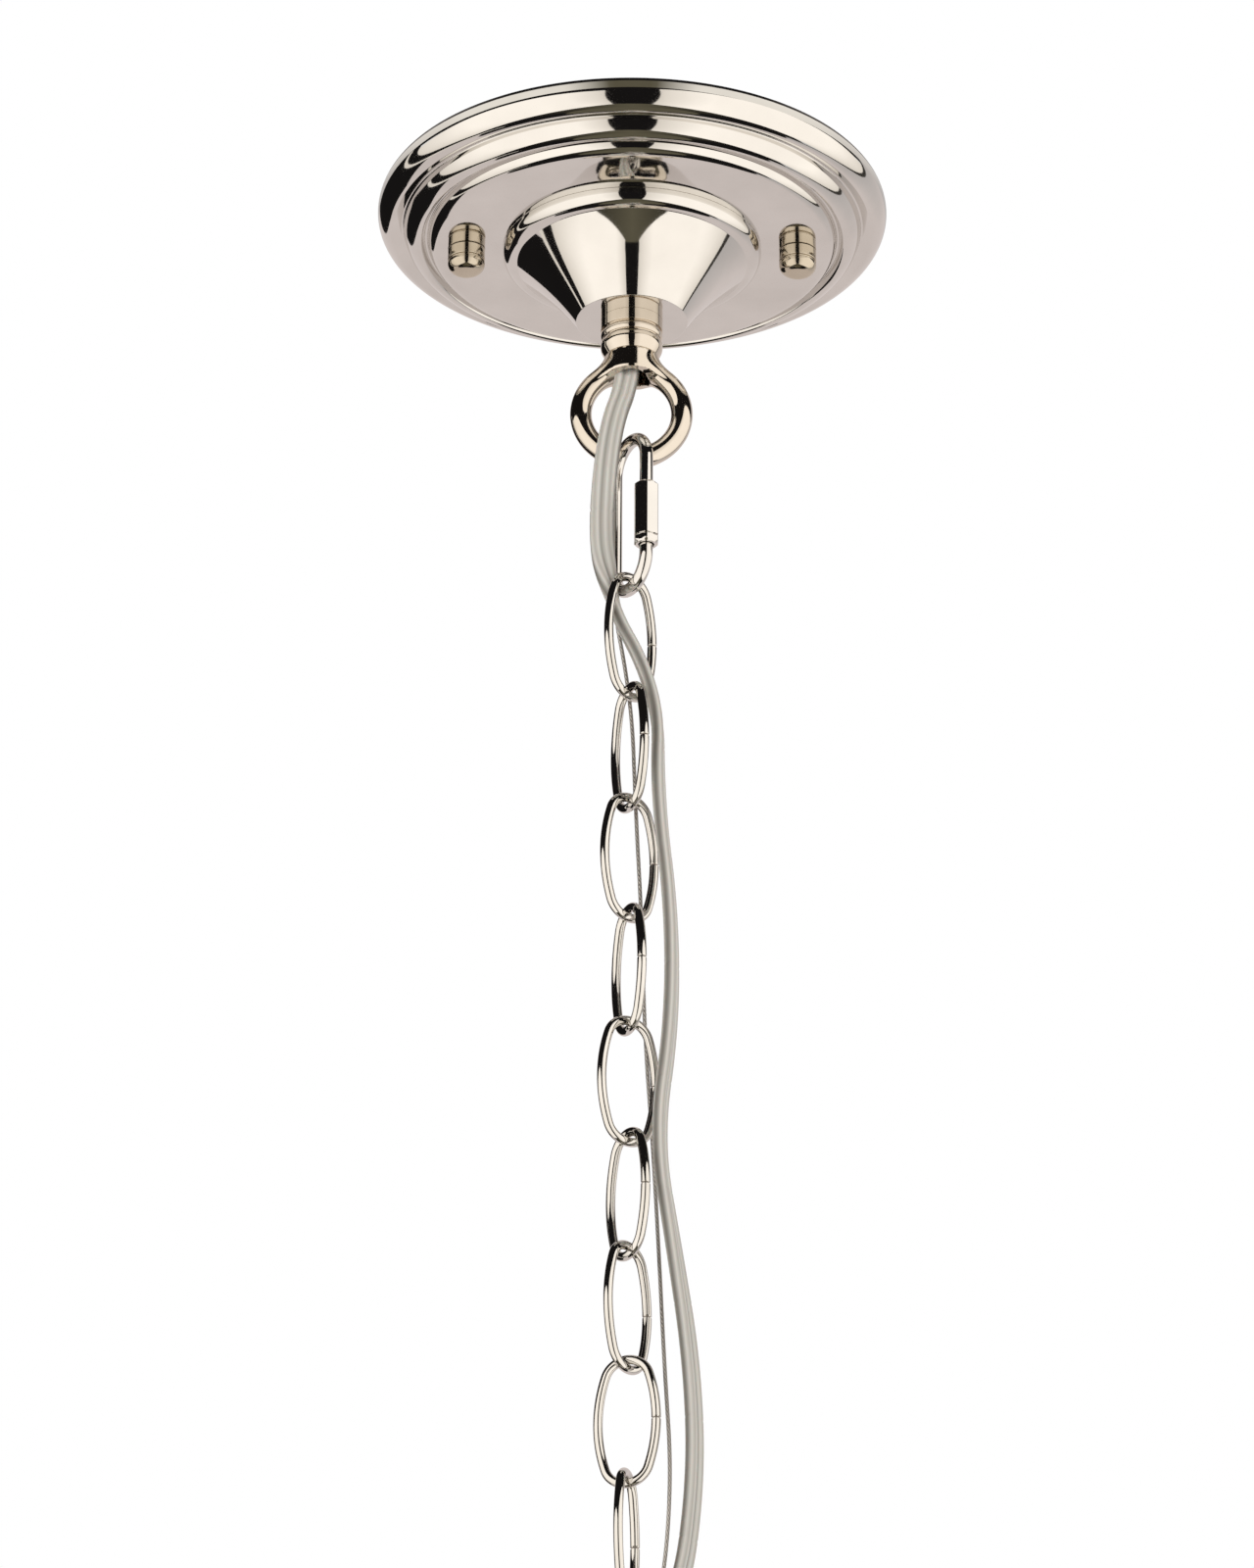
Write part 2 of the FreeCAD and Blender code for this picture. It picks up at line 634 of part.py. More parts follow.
def wire_connectors():
    """Two tapered twist-on caps, each bored for its core."""
    caps = []
    for side in (-1, 1):
        end, way = lead_end(side)
        way.normalize()
        cap = Part.makeCone(CONNECTOR_R, CONNECTOR_TIP_R, CONNECTOR_LENGTH, end, way)
        bore = Part.makeCylinder(CORE_R + NEST_GAP, CONNECTOR_LENGTH / 2.0 + NEST_GAP, end, way)
        caps.append(cap.cut(bore))
    return Part.makeCompound(caps)


def earth_tail():
    """Earth wire from the nipple's top to under the head of the earth screw."""
    foot = earth_route()[0] + Vec(0, 0, SEAT_GAP)
    clamp_z = -STRAP_T - EARTH_R - NEST_GAP
    beside_y = EARTH_SCREW_R + EARTH_R + 2 * NEST_GAP
    route = [foot, Vec(foot.x, foot.y, clamp_z - TAIL_DROP),
             Vec(EARTH_SCREW_X - TAIL_BENDS[0], beside_y, clamp_z - TAIL_DIP),
             Vec(EARTH_SCREW_X - TAIL_BENDS[1], beside_y, clamp_z),
             Vec(EARTH_SCREW_X + TAIL_PAST_SCREW, beside_y, clamp_z)]
    return rounded_rod(route, EARTH_R)


save("mounting_bracket", mounting_bracket())
save("canopy_studs", studs())
save("stud_lock_nuts", stud_lock_nuts())
save("earth_screw", earth_screw())
save("canopy_shell", canopy_shell())
save("canopy_cone", canopy_cone())
save("cap_nut_left", cap_nut(-STUD_X))
save("cap_nut_right", cap_nut(STUD_X))

loop = cast_loop()
save("canopy_loop", placed(loop, 0, CONE_END_Z))
inner_face = FLAT_Z + SHEET
nut_top = inner_face + WASHER_T + NIPPLE_NUT_T
save("nipple_washer", washer(inner_face + WASHER_T))
save("nipple_nut", nipple_nut(nut_top))
save("loop_nipple", nipple(nut_top + NIPPLE_PROUD - NIPPLE_BOTTOM_Z, nut_top + NIPPLE_PROUD))

lower = loop.copy()
lower.rotate(Vec(0, 0, 0), Vec(1, 0, 0), 180)
save("lower_loop", placed(lower, LOWER_LOOP_TURN, LOWER_SEAT_Z))
save("lower_nipple", lower_nipple())

ql = quick_link()
save("quick_link", placed(ql, QL_TURN, QL_TOP_Z))
save("quick_link_sleeve", placed(quick_link_sleeve(), QL_TURN, QL_TOP_Z))
link = chain_link()
for index, turn in enumerate(LINK_TURNS):
    save("chain_link_%d" % (index + 1), placed(link, turn, link_top(index + 1)))

cord = stretches(cord_route(), "flat_cord", CORD_R, 1, len(LINK_TURNS) + 2)
earth = stretches(earth_route(), "earth_wire", EARTH_R, 1, len(LINK_TURNS) + 2)
save("core_leads", core_leads())
save("wire_connectors", wire_connectors())
save("earth_tail", earth_tail())
print("levels: flat %.2f cone end %.2f ring %.2f ring floor %.2f" % (FLAT_Z, CONE_END_Z, RING_Z, RING_FLOOR_Z))
print("joints", ", ".join("%.2f" % joint_level(number) for number in range(len(LINK_TURNS) + 2)))
print("lower ring %.2f lower seat %.2f" % (LOWER_RING_Z, LOWER_SEAT_Z))
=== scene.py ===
import bpy
import bmesh
import math
import numpy as np
from mathutils import Matrix, Vector


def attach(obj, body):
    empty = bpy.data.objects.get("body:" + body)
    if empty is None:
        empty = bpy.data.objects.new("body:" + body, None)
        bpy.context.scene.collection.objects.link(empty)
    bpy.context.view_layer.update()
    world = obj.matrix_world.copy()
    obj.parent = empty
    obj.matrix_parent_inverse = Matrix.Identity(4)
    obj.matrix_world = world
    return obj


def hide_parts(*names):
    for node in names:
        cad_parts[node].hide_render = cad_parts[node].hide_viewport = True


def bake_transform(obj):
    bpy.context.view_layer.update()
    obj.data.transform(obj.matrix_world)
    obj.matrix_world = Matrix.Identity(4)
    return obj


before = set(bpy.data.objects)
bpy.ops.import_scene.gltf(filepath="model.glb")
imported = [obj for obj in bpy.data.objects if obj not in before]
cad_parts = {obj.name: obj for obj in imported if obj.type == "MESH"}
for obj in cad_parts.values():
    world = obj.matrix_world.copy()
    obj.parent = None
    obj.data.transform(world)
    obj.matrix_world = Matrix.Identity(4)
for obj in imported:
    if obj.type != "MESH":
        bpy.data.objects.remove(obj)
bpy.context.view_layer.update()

# Sizes are millimetres, as in the solids, and pieces turn into metres when they are made
MM = 0.001

# Canopy shell and cone
RIM_R = 65.0
RIDGE_INSETS = (5.4, 12.2, 16.4)
RIDGE_DEPTHS = (3.9, 7.6, 10.9)
RIDGE_RADII = (5.4, 5.6, 3.6)
RIDGE_END = 65.0
CREST_R = 1.2
VALLEY_R = 0.5
VALLEY_END = 8.0
SHEET = 0.9
SHEET_EASE = 0.09
NIPPLE_HOLE_R = 4.8
FLANGE_R = 33.0
FLANGE_LIP = 0.8
FLANGE_ROUND = 3.2
CONE_LEDGE = 0.4
CONE_END_R = 14.2
CONE_LENGTH = 20.9
CONE_DISH = 0.9

# Cast loops
NECK_R = 7.9
NECK_COLLAR = 3.0
NECK_EASE = 0.07
GROOVE_W = 0.5
GROOVE_DEPTH = 0.7
BEAD_W = (2.0, 3.1)
WAIST_R = 6.7
WAIST_TAPER = 1.4
WAIST_LAP = 0.1
RING_DROP = 26.9
RING_TUBE_R = 2.75
RING_HOLE_R = 10.1
RING_BLEND = 3.6
NECK_FOOT = 16.2
CORD_BORE_R = 4.6
LOWER_LOOP_TURN = -16.3

# Cap nuts
CAP_R = 4.75
CAP_SKIRT = 3.0
CAP_GROOVE_W = 0.5
CAP_GROOVE_DEPTH = 0.5
CAP_HEIGHT = 6.6
CAP_ROUND = 2.6
CAP_EASE = 0.12
CAP_SEAT_GAP = 0.1
CAP_BORE_R = 2.3
CAP_BORE_DEPTH = 4.3
STUD_X = 42.3

# Quick link
QL_ROD_R = 1.7
QL_HALF_W = 7.3
QL_INNER_LENGTH = 39.0
QL_TURN = -58.0
GATE_GAP = 5.9
HOOK_GAP = 0.4

# Hexagonal sleeve, whose edges are rounded from an angle beside the middle of each side
SLEEVE_DROP = 8.3
SLEEVE_LENGTH = 17.5
SLEEVE_LAP = 0.5
SLEEVE_AF = 6.0
SLEEVE_CHAMFER = 0.35
SLEEVE_EASE = 0.1
SLEEVE_EDGE = 27.0
SLEEVE_GROOVE_W = 0.6
SLEEVE_GROOVE_DEPTH = 0.35
SLEEVE_GROOVE_UP = 2.4
SLEEVE_BORE_R = 2.0
SLEEVE_TURN = 30.0
HEXAGON_STEP = 60.0

# Chain; the plating makes its wire that much thicker in radius than in the solids
LINK_WIRE_R = 1.1
LINK_PLATE = 0.1
LINK_HALF_W = 7.5
LINK_INNER_LENGTH = 31.8
LINK_END_R = 5.8
LINK_SEAM = 0.25
LINK_GAP = 0.3
LINK_TURNS = (43.0, -61.0, 34.0, -64.5, 26.6, -54.6, 49.8, -16.0, 73.7)

# Cords: the routes of the solids, one point beside each joint of the chain
FLAT_CORD_W = 6.2
FLAT_CORD_T = 3.1
LOBE_REACH = 130.0
EARTH_D = 1.0
CORD_IN_NIPPLE = 9.4
CORD_BELOW_SEAT = 4.0
MOUTH_RISE = 11.7
CORD_SPOTS = [(-6.3, -7.1), (-8.2, 0.2), (7.2, -0.4), (7.0, -2.4), (10.6, -2.6), (10.8, -1.6),
              (6.8, -0.6), (11.5, -2.2), (16.0, -2.0), (17.2, -0.6), (13.2, 4.4)]
EARTH_SPOTS = [(-8.1, 4.8), (-5.3, 2.2), (0.4, 4.6), (1.5, 3.8), (3.2, 5.4), (4.0, 5.0),
               (6.2, 5.6), (7.8, 2.6), (9.2, 0.4), (11.2, 0.8), (8.6, 6.2)]
# In the loops' bores: y at the cord's ends, y in the mouths, x in the upper mouth, x in the lower mouth
CORD_BORES = (-0.9, -0.88, 0.2, -0.2)
EARTH_BORES = (2.9, 2.84, 0.1, -0.2)
# The way that the flat cord's wide side points, degrees from +X, by joint number along the chain
CORD_TWIST = ((0.0, -6.0), (0.72, 8.0), (1.3, 82.0), (2.0, 90.0), (3.0, 80.0), (6.0, 75.0), (8.0, 60.0))
# Stretches overlap by a splice that is slimmer, to lie in its neighbour, and each holds one joint;
# the first and last cut lie past the cord's ends, so that those stay full size
SPLICE = 4.2
SPLICE_SIZE = 0.93
PAST_END = 1.0

# How finely pieces are drawn, and which of their corners are eased or stay sharp
SHELL_SIDES = 256
CONE_SIDES = 192
CAP_SIDES = 96
NECK_SIDES = 96
ROD_SIDES = 32
SLEEVE_SIDES = 120
LINK_SIDES = 24
EARTH_SIDES = 12
LOBE_STEPS = 10
CHAMFER_STEPS = 6
ROUTE_STEPS = 28
LOOP_CELL = 0.36
LOOP_MARGIN = 1.0
LOOP_MARGIN_Y = 1.5
ONTO_ROUNDS = 8
EVEN_ROUNDS = 6
EASE_ANGLE = 25.0
EASE_BESIDE = 2.2
ROD_EASE = 0.18
SHARP = 55.0
ROD_SHARP = 40.0
SLEEVE_SHARP = 24.0
CORD_SHARP = 75.0

# Levels that follow from the sizes above
FLAT_Z = -RIDGE_DEPTHS[-1] - RIDGE_RADII[-1]
CONE_END_Z = FLAT_Z - CONE_LENGTH
RING_MID_R = RING_HOLE_R + RING_TUBE_R
RING_Z = CONE_END_Z - RING_DROP
RING_FLOOR_Z = RING_Z - RING_HOLE_R
QL_TOP_Z = RING_FLOOR_Z + HOOK_GAP
QL_FLOOR_Z = QL_TOP_Z - QL_INNER_LENGTH
LINK_PITCH = LINK_INNER_LENGTH - LINK_GAP
LINKS = len(LINK_TURNS)
LAST_FLOOR_Z = QL_FLOOR_Z + LINK_GAP - (LINKS - 1) * LINK_PITCH - LINK_INNER_LENGTH
LOWER_RING_Z = LAST_FLOOR_Z + LINK_GAP - RING_HOLE_R
LOWER_SEAT_Z = LOWER_RING_Z - RING_DROP
CORD_TOP_Z = CONE_END_Z + CORD_IN_NIPPLE
CORD_FOOT_Z = LOWER_SEAT_Z - CORD_BELOW_SEAT

# Bodies from the ceiling down, each hanging on the one before it
HANGING = ["canopy", "quick_link"] + ["chain_link_%d" % (k + 1) for k in range(LINKS)] + ["lower_loop"]


def joint_level(number):
    """Height of joint 0 (quick link on loop), 1 (link 1 on quick link), 2 and so on, or between them."""
    if number < 1:
        return RING_FLOOR_Z + (QL_FLOOR_Z - RING_FLOOR_Z) * number
    return QL_FLOOR_Z - (number - 1) * LINK_PITCH


# Materials
class Shader:
    """A material with its nodes, and short ways to add and join them."""

    def __init__(self, name):
        self.material = bpy.data.materials.new(name)
        self.material.use_nodes = True
        self.nodes = self.material.node_tree.nodes
        self.links = self.material.node_tree.links
        self.bsdf = self.nodes["Principled BSDF"]

    def add(self, kind, **sockets):
        """New node with constants on its sockets."""
        node = self.nodes.new(kind)
        for key, value in sockets.items():
            node.inputs[key.replace("_", " ")].default_value = value
        return node

    def join(self, source, target):
        """Link from an output to an input."""
        self.links.new(source, target)

    def set(self, **sockets):
        """Constants on the surface's sockets."""
        for key, value in sockets.items():
            self.bsdf.inputs[key.replace("_", " ")].default_value = value

    def feed(self, socket, source):
        """Link from an output to one of the surface's sockets."""
        self.join(source, self.bsdf.inputs[socket])

    def ramp(self, source, stops):
        """Colour that runs through stops of (place, colour)."""
        node = self.nodes.new("ShaderNodeValToRGB")
        elements = node.color_ramp.elements
        while len(elements) < len(stops):
            elements.new(0.5)
        for element, (place, colour) in zip(elements, stops):
            element.position = place
            element.color = (*colour, 1.0)
        self.join(source, node.inputs["Fac"])
        return node.outputs["Color"]

    def span(self, source, low, high):
        """Value from 0 to 1 spread from low to high."""
        node = self.nodes.new("ShaderNodeMapRange")
        node.inputs["To Min"].default_value = low
        node.inputs["To Max"].default_value = high
        self.join(source, node.inputs["Value"])
        return node.outputs["Result"]

    def spot(self):
        """Place on the object itself."""
        return self.nodes.new("ShaderNodeTexCoord").outputs["Object"]

    def layer(self, name):
        """Place in one of the mesh's UV layers."""
        node = self.nodes.new("ShaderNodeUVMap")
        node.uv_map = name
        return node.outputs["UV"]

    def across(self, name):
        """First coordinate of a UV layer."""
        parts = self.nodes.new("ShaderNodeSeparateXYZ")
        self.join(self.layer(name), parts.inputs["Vector"])
        return parts.outputs["X"]

    def noise(self, scale, detail=3.0):
        """Soft clouds on the object."""
        node = self.add("ShaderNodeTexNoise", Scale=scale, Detail=detail)
        self.join(self.spot(), node.inputs["Vector"])
        return node.outputs["Fac"]

    def strands(self, scale, distortion):
        """Diagonal bands along a cord, as twisted strands make."""
        node = self.add("ShaderNodeTexWave", Scale=scale, Distortion=distortion)
        node.bands_direction = "DIAGONAL"
        self.join(self.layer("run"), node.inputs["Vector"])
        return node.outputs["Fac"]

    def bump(self, source, strength, distance):
        """Relief on the surface, its depth in metres."""
        node = self.add("ShaderNodeBump", Strength=strength, Distance=distance)
        self.join(source, node.inputs["Height"])
        self.feed("Normal", node.outputs["Normal"])


def plated(name, dark, light, smooth, rough):
    """Polished plate: faint clouding of its tint and gloss over a slightly uneven base."""
    shader = Shader(name)
    shader.set(Metallic=1.0)
    shader.feed("Base Color", shader.ramp(shader.noise(70.0), [(0.3, dark), (0.7, light)]))
    shader.feed("Roughness", shader.span(shader.noise(420.0, 5.0), smooth, rough))
    shader.bump(shader.noise(55.0, 1.0), 0.05, 0.0004)
    return shader.material


def zinc_steel():
    """Zinc plated steel: grey with a spangle of slightly different crystals."""
    shader = Shader("zinc_steel")
    shader.set(Metallic=1.0)
    cells = shader.add("ShaderNodeTexVoronoi", Scale=900.0)
    shader.join(shader.spot(), cells.inputs["Vector"])
    greys = [(0.0, (0.46, 0.47, 0.49)), (0.8, (0.64, 0.65, 0.66))]
    shader.feed("Base Color", shader.ramp(cells.outputs["Distance"], greys))
    shader.feed("Roughness", shader.span(shader.noise(300.0), 0.24, 0.42))
    return shader.material


def cord_jacket():
    """Clear grey-beige jacket over two stranded cores, with lengthwise stripes of painted light that
    follow the section: a painted highlight on each lobe's faces and painted shade on its outer edge and in
    the groove between the lobes.
    """
    shader = Shader("cord_jacket")
    shader.set(Roughness=0.22, IOR=1.4, Subsurface_Weight=0.15, Subsurface_Scale=0.001)
    quarter = 0.25
    fold = shader.nodes.new("ShaderNodeMath")
    fold.operation = "PINGPONG"
    fold.inputs[1].default_value = quarter
    shader.join(shader.across("run"), fold.inputs[0])
    # Painted light across the section: the lighter bands are painted highlights on each lobe's faces, the
    # darkest colours are painted shade on the outer edges and in the groove between the lobes
    lobe_highlight_and_shade = [(0.0, (0.33, 0.31, 0.27)), (0.22, (0.66, 0.63, 0.57)), (0.46, (0.44, 0.41, 0.36)),
               (0.68, (0.64, 0.61, 0.55)), (0.88, (0.27, 0.25, 0.22)), (1.0, (0.17, 0.155, 0.13))]
    level = shader.span(fold.outputs[0], 0.0, 1.0 / quarter)
    shader.feed("Base Color", shader.ramp(level, lobe_highlight_and_shade))
    shader.bump(shader.strands(8.0, 0.4), 0.06, 0.0002)
    return shader.material


def tinned_wire():
    """Fine bare strands twisted together."""
    shader = Shader("tinned_wire")
    shader.set(Metallic=1.0, Roughness=0.3)
    strands = shader.strands(3.0, 0.0)
    greys = [(0.0, (0.34, 0.32, 0.30)), (1.0, (0.66, 0.64, 0.61))]
    shader.feed("Base Color", shader.ramp(strands, greys))
    shader.bump(strands, 0.3, 0.0002)
    return shader.material


def moulded(name, dark, light, rough):
    """Moulded or extruded plastic with faint mottling."""
    shader = Shader(name)
    shader.set(Roughness=rough)
    shader.feed("Base Color", shader.ramp(shader.noise(160.0, 4.0), [(0.35, dark), (0.65, light)]))
    shader.bump(shader.noise(1500.0, 2.0), 0.1, 0.0001)
    return shader.material


NICKEL = plated("nickel", (0.70, 0.68, 0.65), (0.76, 0.74, 0.71), 0.03, 0.07)
WARM_NICKEL = plated("warm_nickel", (0.655, 0.59, 0.505), (0.73, 0.67, 0.59), 0.04, 0.08)
CHAIN_NICKEL = plated("chain_nickel", (0.68, 0.66, 0.62), (0.76, 0.74, 0.71), 0.03, 0.08)
BRASS_NUT = plated("brass_nut", (0.52, 0.455, 0.36), (0.63, 0.565, 0.46), 0.07, 0.14)
BRASS_SCREW = plated("brass_screw", (0.58, 0.46, 0.26), (0.68, 0.56, 0.34), 0.18, 0.30)
ZINC = zinc_steel()
JACKET = cord_jacket()
TINNED = tinned_wire()
CORE_SLEEVE = moulded("core_sleeve", (0.60, 0.57, 0.50), (0.68, 0.65, 0.58), 0.3)
CONNECTOR = moulded("connector", (0.74, 0.71, 0.62), (0.82, 0.79, 0.70), 0.45)


# Ways of making pieces
def placed(name, data):
    """New object in the scene."""
    made = bpy.data.objects.new(name, data)
    bpy.context.scene.collection.objects.link(made)
    return made


def piece(name, points, faces, material, sharp=SHARP, place=None):
    """Mesh object from points in millimetres, smooth but for edges sharper than the given angle."""
    mesh = bpy.data.meshes.new(name)
    mesh.from_pydata([Vector(p) * MM for p in points], [], faces)
    mesh.validate()
    work = bmesh.new()
    work.from_mesh(mesh)
    bmesh.ops.recalc_face_normals(work, faces=work.faces)
    work.to_mesh(mesh)
    work.free()
    mesh.shade_smooth()
    mesh.set_sharp_from_angle(angle=math.radians(sharp))
    mesh.materials.append(material)
    if place:
        mesh.transform(place)
    return placed(name, mesh)


def settle(made, body, node):
    """Hangs a finished piece on its body in place of its node."""
    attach(made, body)
    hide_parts(node)


def arc(mid_r, mid_z, radius, start, end, steps):
    """Points of a profile arc, angles in degrees from outwards towards up."""
    angles = [math.radians(start + (end - start) * k / steps) for k in range(steps + 1)]
    return [(mid_r + radius * math.cos(a), mid_z + radius * math.sin(a)) for a in angles]


def bow(first, middle, last, steps):
    """Points of a profile arc through three points."""
    (x1, y1), (x2, y2), (x3, y3) = first, middle, last
    d = 2 * (x1 * (y2 - y3) + x2 * (y3 - y1) + x3 * (y1 - y2))
    s1, s2, s3 = x1 * x1 + y1 * y1, x2 * x2 + y2 * y2, x3 * x3 + y3 * y3
    cx = (s1 * (y2 - y3) + s2 * (y3 - y1) + s3 * (y1 - y2)) / d
    cy = (s1 * (x3 - x2) + s2 * (x1 - x3) + s3 * (x2 - x1)) / d
    start = math.degrees(math.atan2(y1 - cy, x1 - cx))
    end = math.degrees(math.atan2(y3 - cy, x3 - cx))
    end += 360.0 * round((start - end) / 360.0)
    return arc(cx, cy, math.hypot(x1 - cx, y1 - cy), start, end, steps)


def eased(profile, ease, closed):
    """Profile with each sharp corner taken off by a small chamfer, with a point beside it on each edge."""
    out = []
    count = len(profile)
    for index, point in enumerate(profile):
        p = Vector(point)
        ends = not closed and index in (0, count - 1)
        before = Vector(profile[index - 1]) - p
        after = Vector(profile[(index + 1) % count]) - p
        if ends or before.angle(-after, 0.0) < math.radians(EASE_ANGLE):
            out.append(tuple(p))
            continue
        for edge in (before, after):
            cut = min(ease, edge.length / 4)
            near = [p + edge.normalized() * cut * EASE_BESIDE, p + edge.normalized() * cut]
            if edge is after:
                near.reverse()
            out.extend(tuple(q) for q in near)
    return out


def turned(profile, closed, sides):
    """Vertices and faces of a piece turned about Z from (r, z) points."""
    points, rows, faces = [], [], []
    for r, z in profile:
        count = 1 if r < 1e-6 else sides
        rows.append([len(points) + s for s in range(count)])
        for s in range(count):
            angle = 2 * math.pi * s / sides
            points.append((r * math.cos(angle), r * math.sin(angle), z))
    pairs = list(zip(rows, rows[1:]))
    if closed:
        pairs.append((rows[-1], rows[0]))
    for upper, lower in pairs:
        for s in range(sides):
            t = (s + 1) % sides
            corners = ((upper, s), (lower, s), (lower, t), (upper, t))
            face = [row[k % len(row)] for row, k in corners]
            faces.append(list(dict.fromkeys(face)))
    return points, faces


def skin(rings, sides):
    """Faces of a tube through rings of vertices, closed at both ends."""
    faces = []
    for ring in range(rings - 1):
        a, b = ring * sides, (ring + 1) * sides
        for s in range(sides):
            t = (s + 1) % sides
            faces.append([a + s, a + t, b + t, b + s])
    faces.append(list(range(sides)))
    faces.append(list(range((rings - 1) * sides, rings * sides)))
    return faces


def rod(line, radius, sides):
    """Vertices and faces of a round rod along points, with eased ends."""
    line = [Vector(p) for p in line]
    first, last = (line[1] - line[0]).normalized(), (line[-1] - line[-2]).normalized()
    ease = radius * ROD_EASE
    rings = [(line[0], radius - ease), (line[0] + first * ease, radius)]
    rings += [(p, radius) for p in line[1:-1]]
    rings += [(line[-1] - last * ease, radius), (line[-1], radius - ease)]
    side = first.orthogonal().normalized()
    points = []
    for index, (p, r) in enumerate(rings):
        ahead = rings[min(index + 1, len(rings) - 1)][0]
        behind = rings[max(index - 1, 0)][0]
        along = (ahead - behind).normalized()
        side = (side - along * side.dot(along)).normalized()
        other = along.cross(side)
        for s in range(sides):
            angle = 2 * math.pi * s / sides
            points.append(p + side * r * math.cos(angle) + other * r * math.sin(angle))
    return points, skin(len(rings), sides)


def merged(*parts):
    """Several sets of vertices and faces as one."""
    points, faces = [], []
    for some_points, some_faces in parts:
        shift = len(points)
        points.extend(some_points)
        faces.extend([[v + shift for v in face] for face in some_faces])
    return points, faces


def lifted(z, turn=0.0):
    """Turn about Z in degrees, then a lift in millimetres."""
    return Matrix.Translation((0, 0, z * MM)) @ Matrix.Rotation(math.radians(turn), 4, "Z")


# Canopy
def off_mid(mid, radius, angle):
    """Point at a distance from a centre, angle in degrees from outwards towards down."""
    turn = math.radians(angle)
    return mid[0] + radius * math.cos(turn), mid[1] - radius * math.sin(turn)


def ridge_points(inset):
    """Outline of the ridges from the ceiling to the flat face, moved inwards by an inset."""
    mids = [(RIM_R - across, -depth) for across, depth in zip(RIDGE_INSETS, RIDGE_DEPTHS)]
    start = -math.degrees(math.asin(RIDGE_DEPTHS[0] / (RIDGE_RADII[0] - inset)))
    points = []
    for index in range(len(mids) - 1):
        points += arc(*mids[index], RIDGE_RADII[index] - inset, -start, -RIDGE_END, steps=28)
        crest = off_mid(mids[index], RIDGE_RADII[index] - CREST_R, RIDGE_END)
        valley = off_mid(mids[index + 1], RIDGE_RADII[index + 1] + VALLEY_R, VALLEY_END)
        apart = (valley[0] - crest[0], valley[1] - crest[1])
        heading = math.degrees(math.atan2(-apart[1], apart[0])) % 360.0
        turn = heading - math.degrees(math.acos((CREST_R + VALLEY_R) / math.hypot(*apart)))
        points += arc(*crest, CREST_R - inset, -RIDGE_END, -turn, steps=16)[1:]
        points += arc(*valley, -VALLEY_R - inset, -turn, -VALLEY_END, steps=12)[:-1]
        start = VALLEY_END
    return points + arc(*mids[-1], RIDGE_RADII[-1] - inset, -start, -90.0, steps=24)


def shell_profile():
    """Rim to centre outside, then back to the rim inside."""
    outer = ridge_points(0.0) + [(NIPPLE_HOLE_R, FLAT_Z)]
    inner = ridge_points(SHEET) + [(NIPPLE_HOLE_R, FLAT_Z + SHEET)]
    return eased(outer + inner[::-1], SHEET_EASE, True)


def cone_profile():
    """Flange, dished side and flat end outside, then back inside."""
    flange_in = FLANGE_R - FLANGE_ROUND
    shoulder, foot = FLAT_Z - FLANGE_LIP, FLAT_Z - FLANGE_LIP - FLANGE_ROUND
    top = flange_in - CONE_LEDGE
    run_r, run_z = top - CONE_END_R, foot - CONE_END_Z
    slant = math.hypot(run_r, run_z)
    mid_r = (top + CONE_END_R) / 2 - CONE_DISH * run_z / slant
    mid_z = (foot + CONE_END_Z) / 2 + CONE_DISH * run_r / slant
    side = SHEET * slant / run_z
    outer = [(FLANGE_R, FLAT_Z)] + arc(flange_in, shoulder, FLANGE_ROUND, 0, -90, steps=22)
    outer += bow((top, foot), (mid_r, mid_z), (CONE_END_R, CONE_END_Z), steps=24)
    outer.append((NIPPLE_HOLE_R, CONE_END_Z))
    inner = [(FLANGE_R - SHEET, FLAT_Z)]
    inner += arc(flange_in, shoulder, FLANGE_ROUND - SHEET, 0, -90, steps=12)
    inner += bow((top - side, foot + SHEET), (mid_r - side, mid_z + SHEET / 2),
                 (CONE_END_R - side, CONE_END_Z + SHEET), steps=24)
    inner.append((NIPPLE_HOLE_R, CONE_END_Z + SHEET))
    return eased(outer + inner[::-1], SHEET_EASE, True)


def make_canopy():
    """Shell and cone on the fixed body."""
    shell = piece("shell", *turned(shell_profile(), True, SHELL_SIDES), NICKEL)
    settle(shell, "canopy", "canopy_shell")
    cone = piece("cone_cover", *turned(cone_profile(), True, CONE_SIDES), NICKEL)
    settle(cone, "canopy", "canopy_cone")


def cap_profile():
    """Blind knob from the end of its bore round to the middle of its face."""
    low = CAP_R - CAP_GROOVE_DEPTH
    head = -CAP_SKIRT - CAP_GROOVE_W
    points = [(0, -CAP_BORE_DEPTH), (CAP_BORE_R, -CAP_BORE_DEPTH), (CAP_BORE_R, 0), (CAP_R, 0),
              (CAP_R, -CAP_SKIRT), (low, -CAP_SKIRT), (low, head), (CAP_R, head)]
    points += arc(CAP_R - CAP_ROUND, -CAP_HEIGHT + CAP_ROUND, CAP_ROUND, 0, -90, steps=16)
    points.append((0, -CAP_HEIGHT))
    return eased(points, CAP_EASE, False)


def make_cap_nuts():
    """One knob on each stud."""
    for name, x in (("cap_nut_left", -STUD_X), ("cap_nut_right", STUD_X)):
        place = Matrix.Translation((x * MM, 0, (FLAT_Z - CAP_SEAT_GAP) * MM))
        nut = piece(name + "_knob", *turned(cap_profile(), False, CAP_SIDES), BRASS_NUT, place=place)
        settle(nut, name, name)


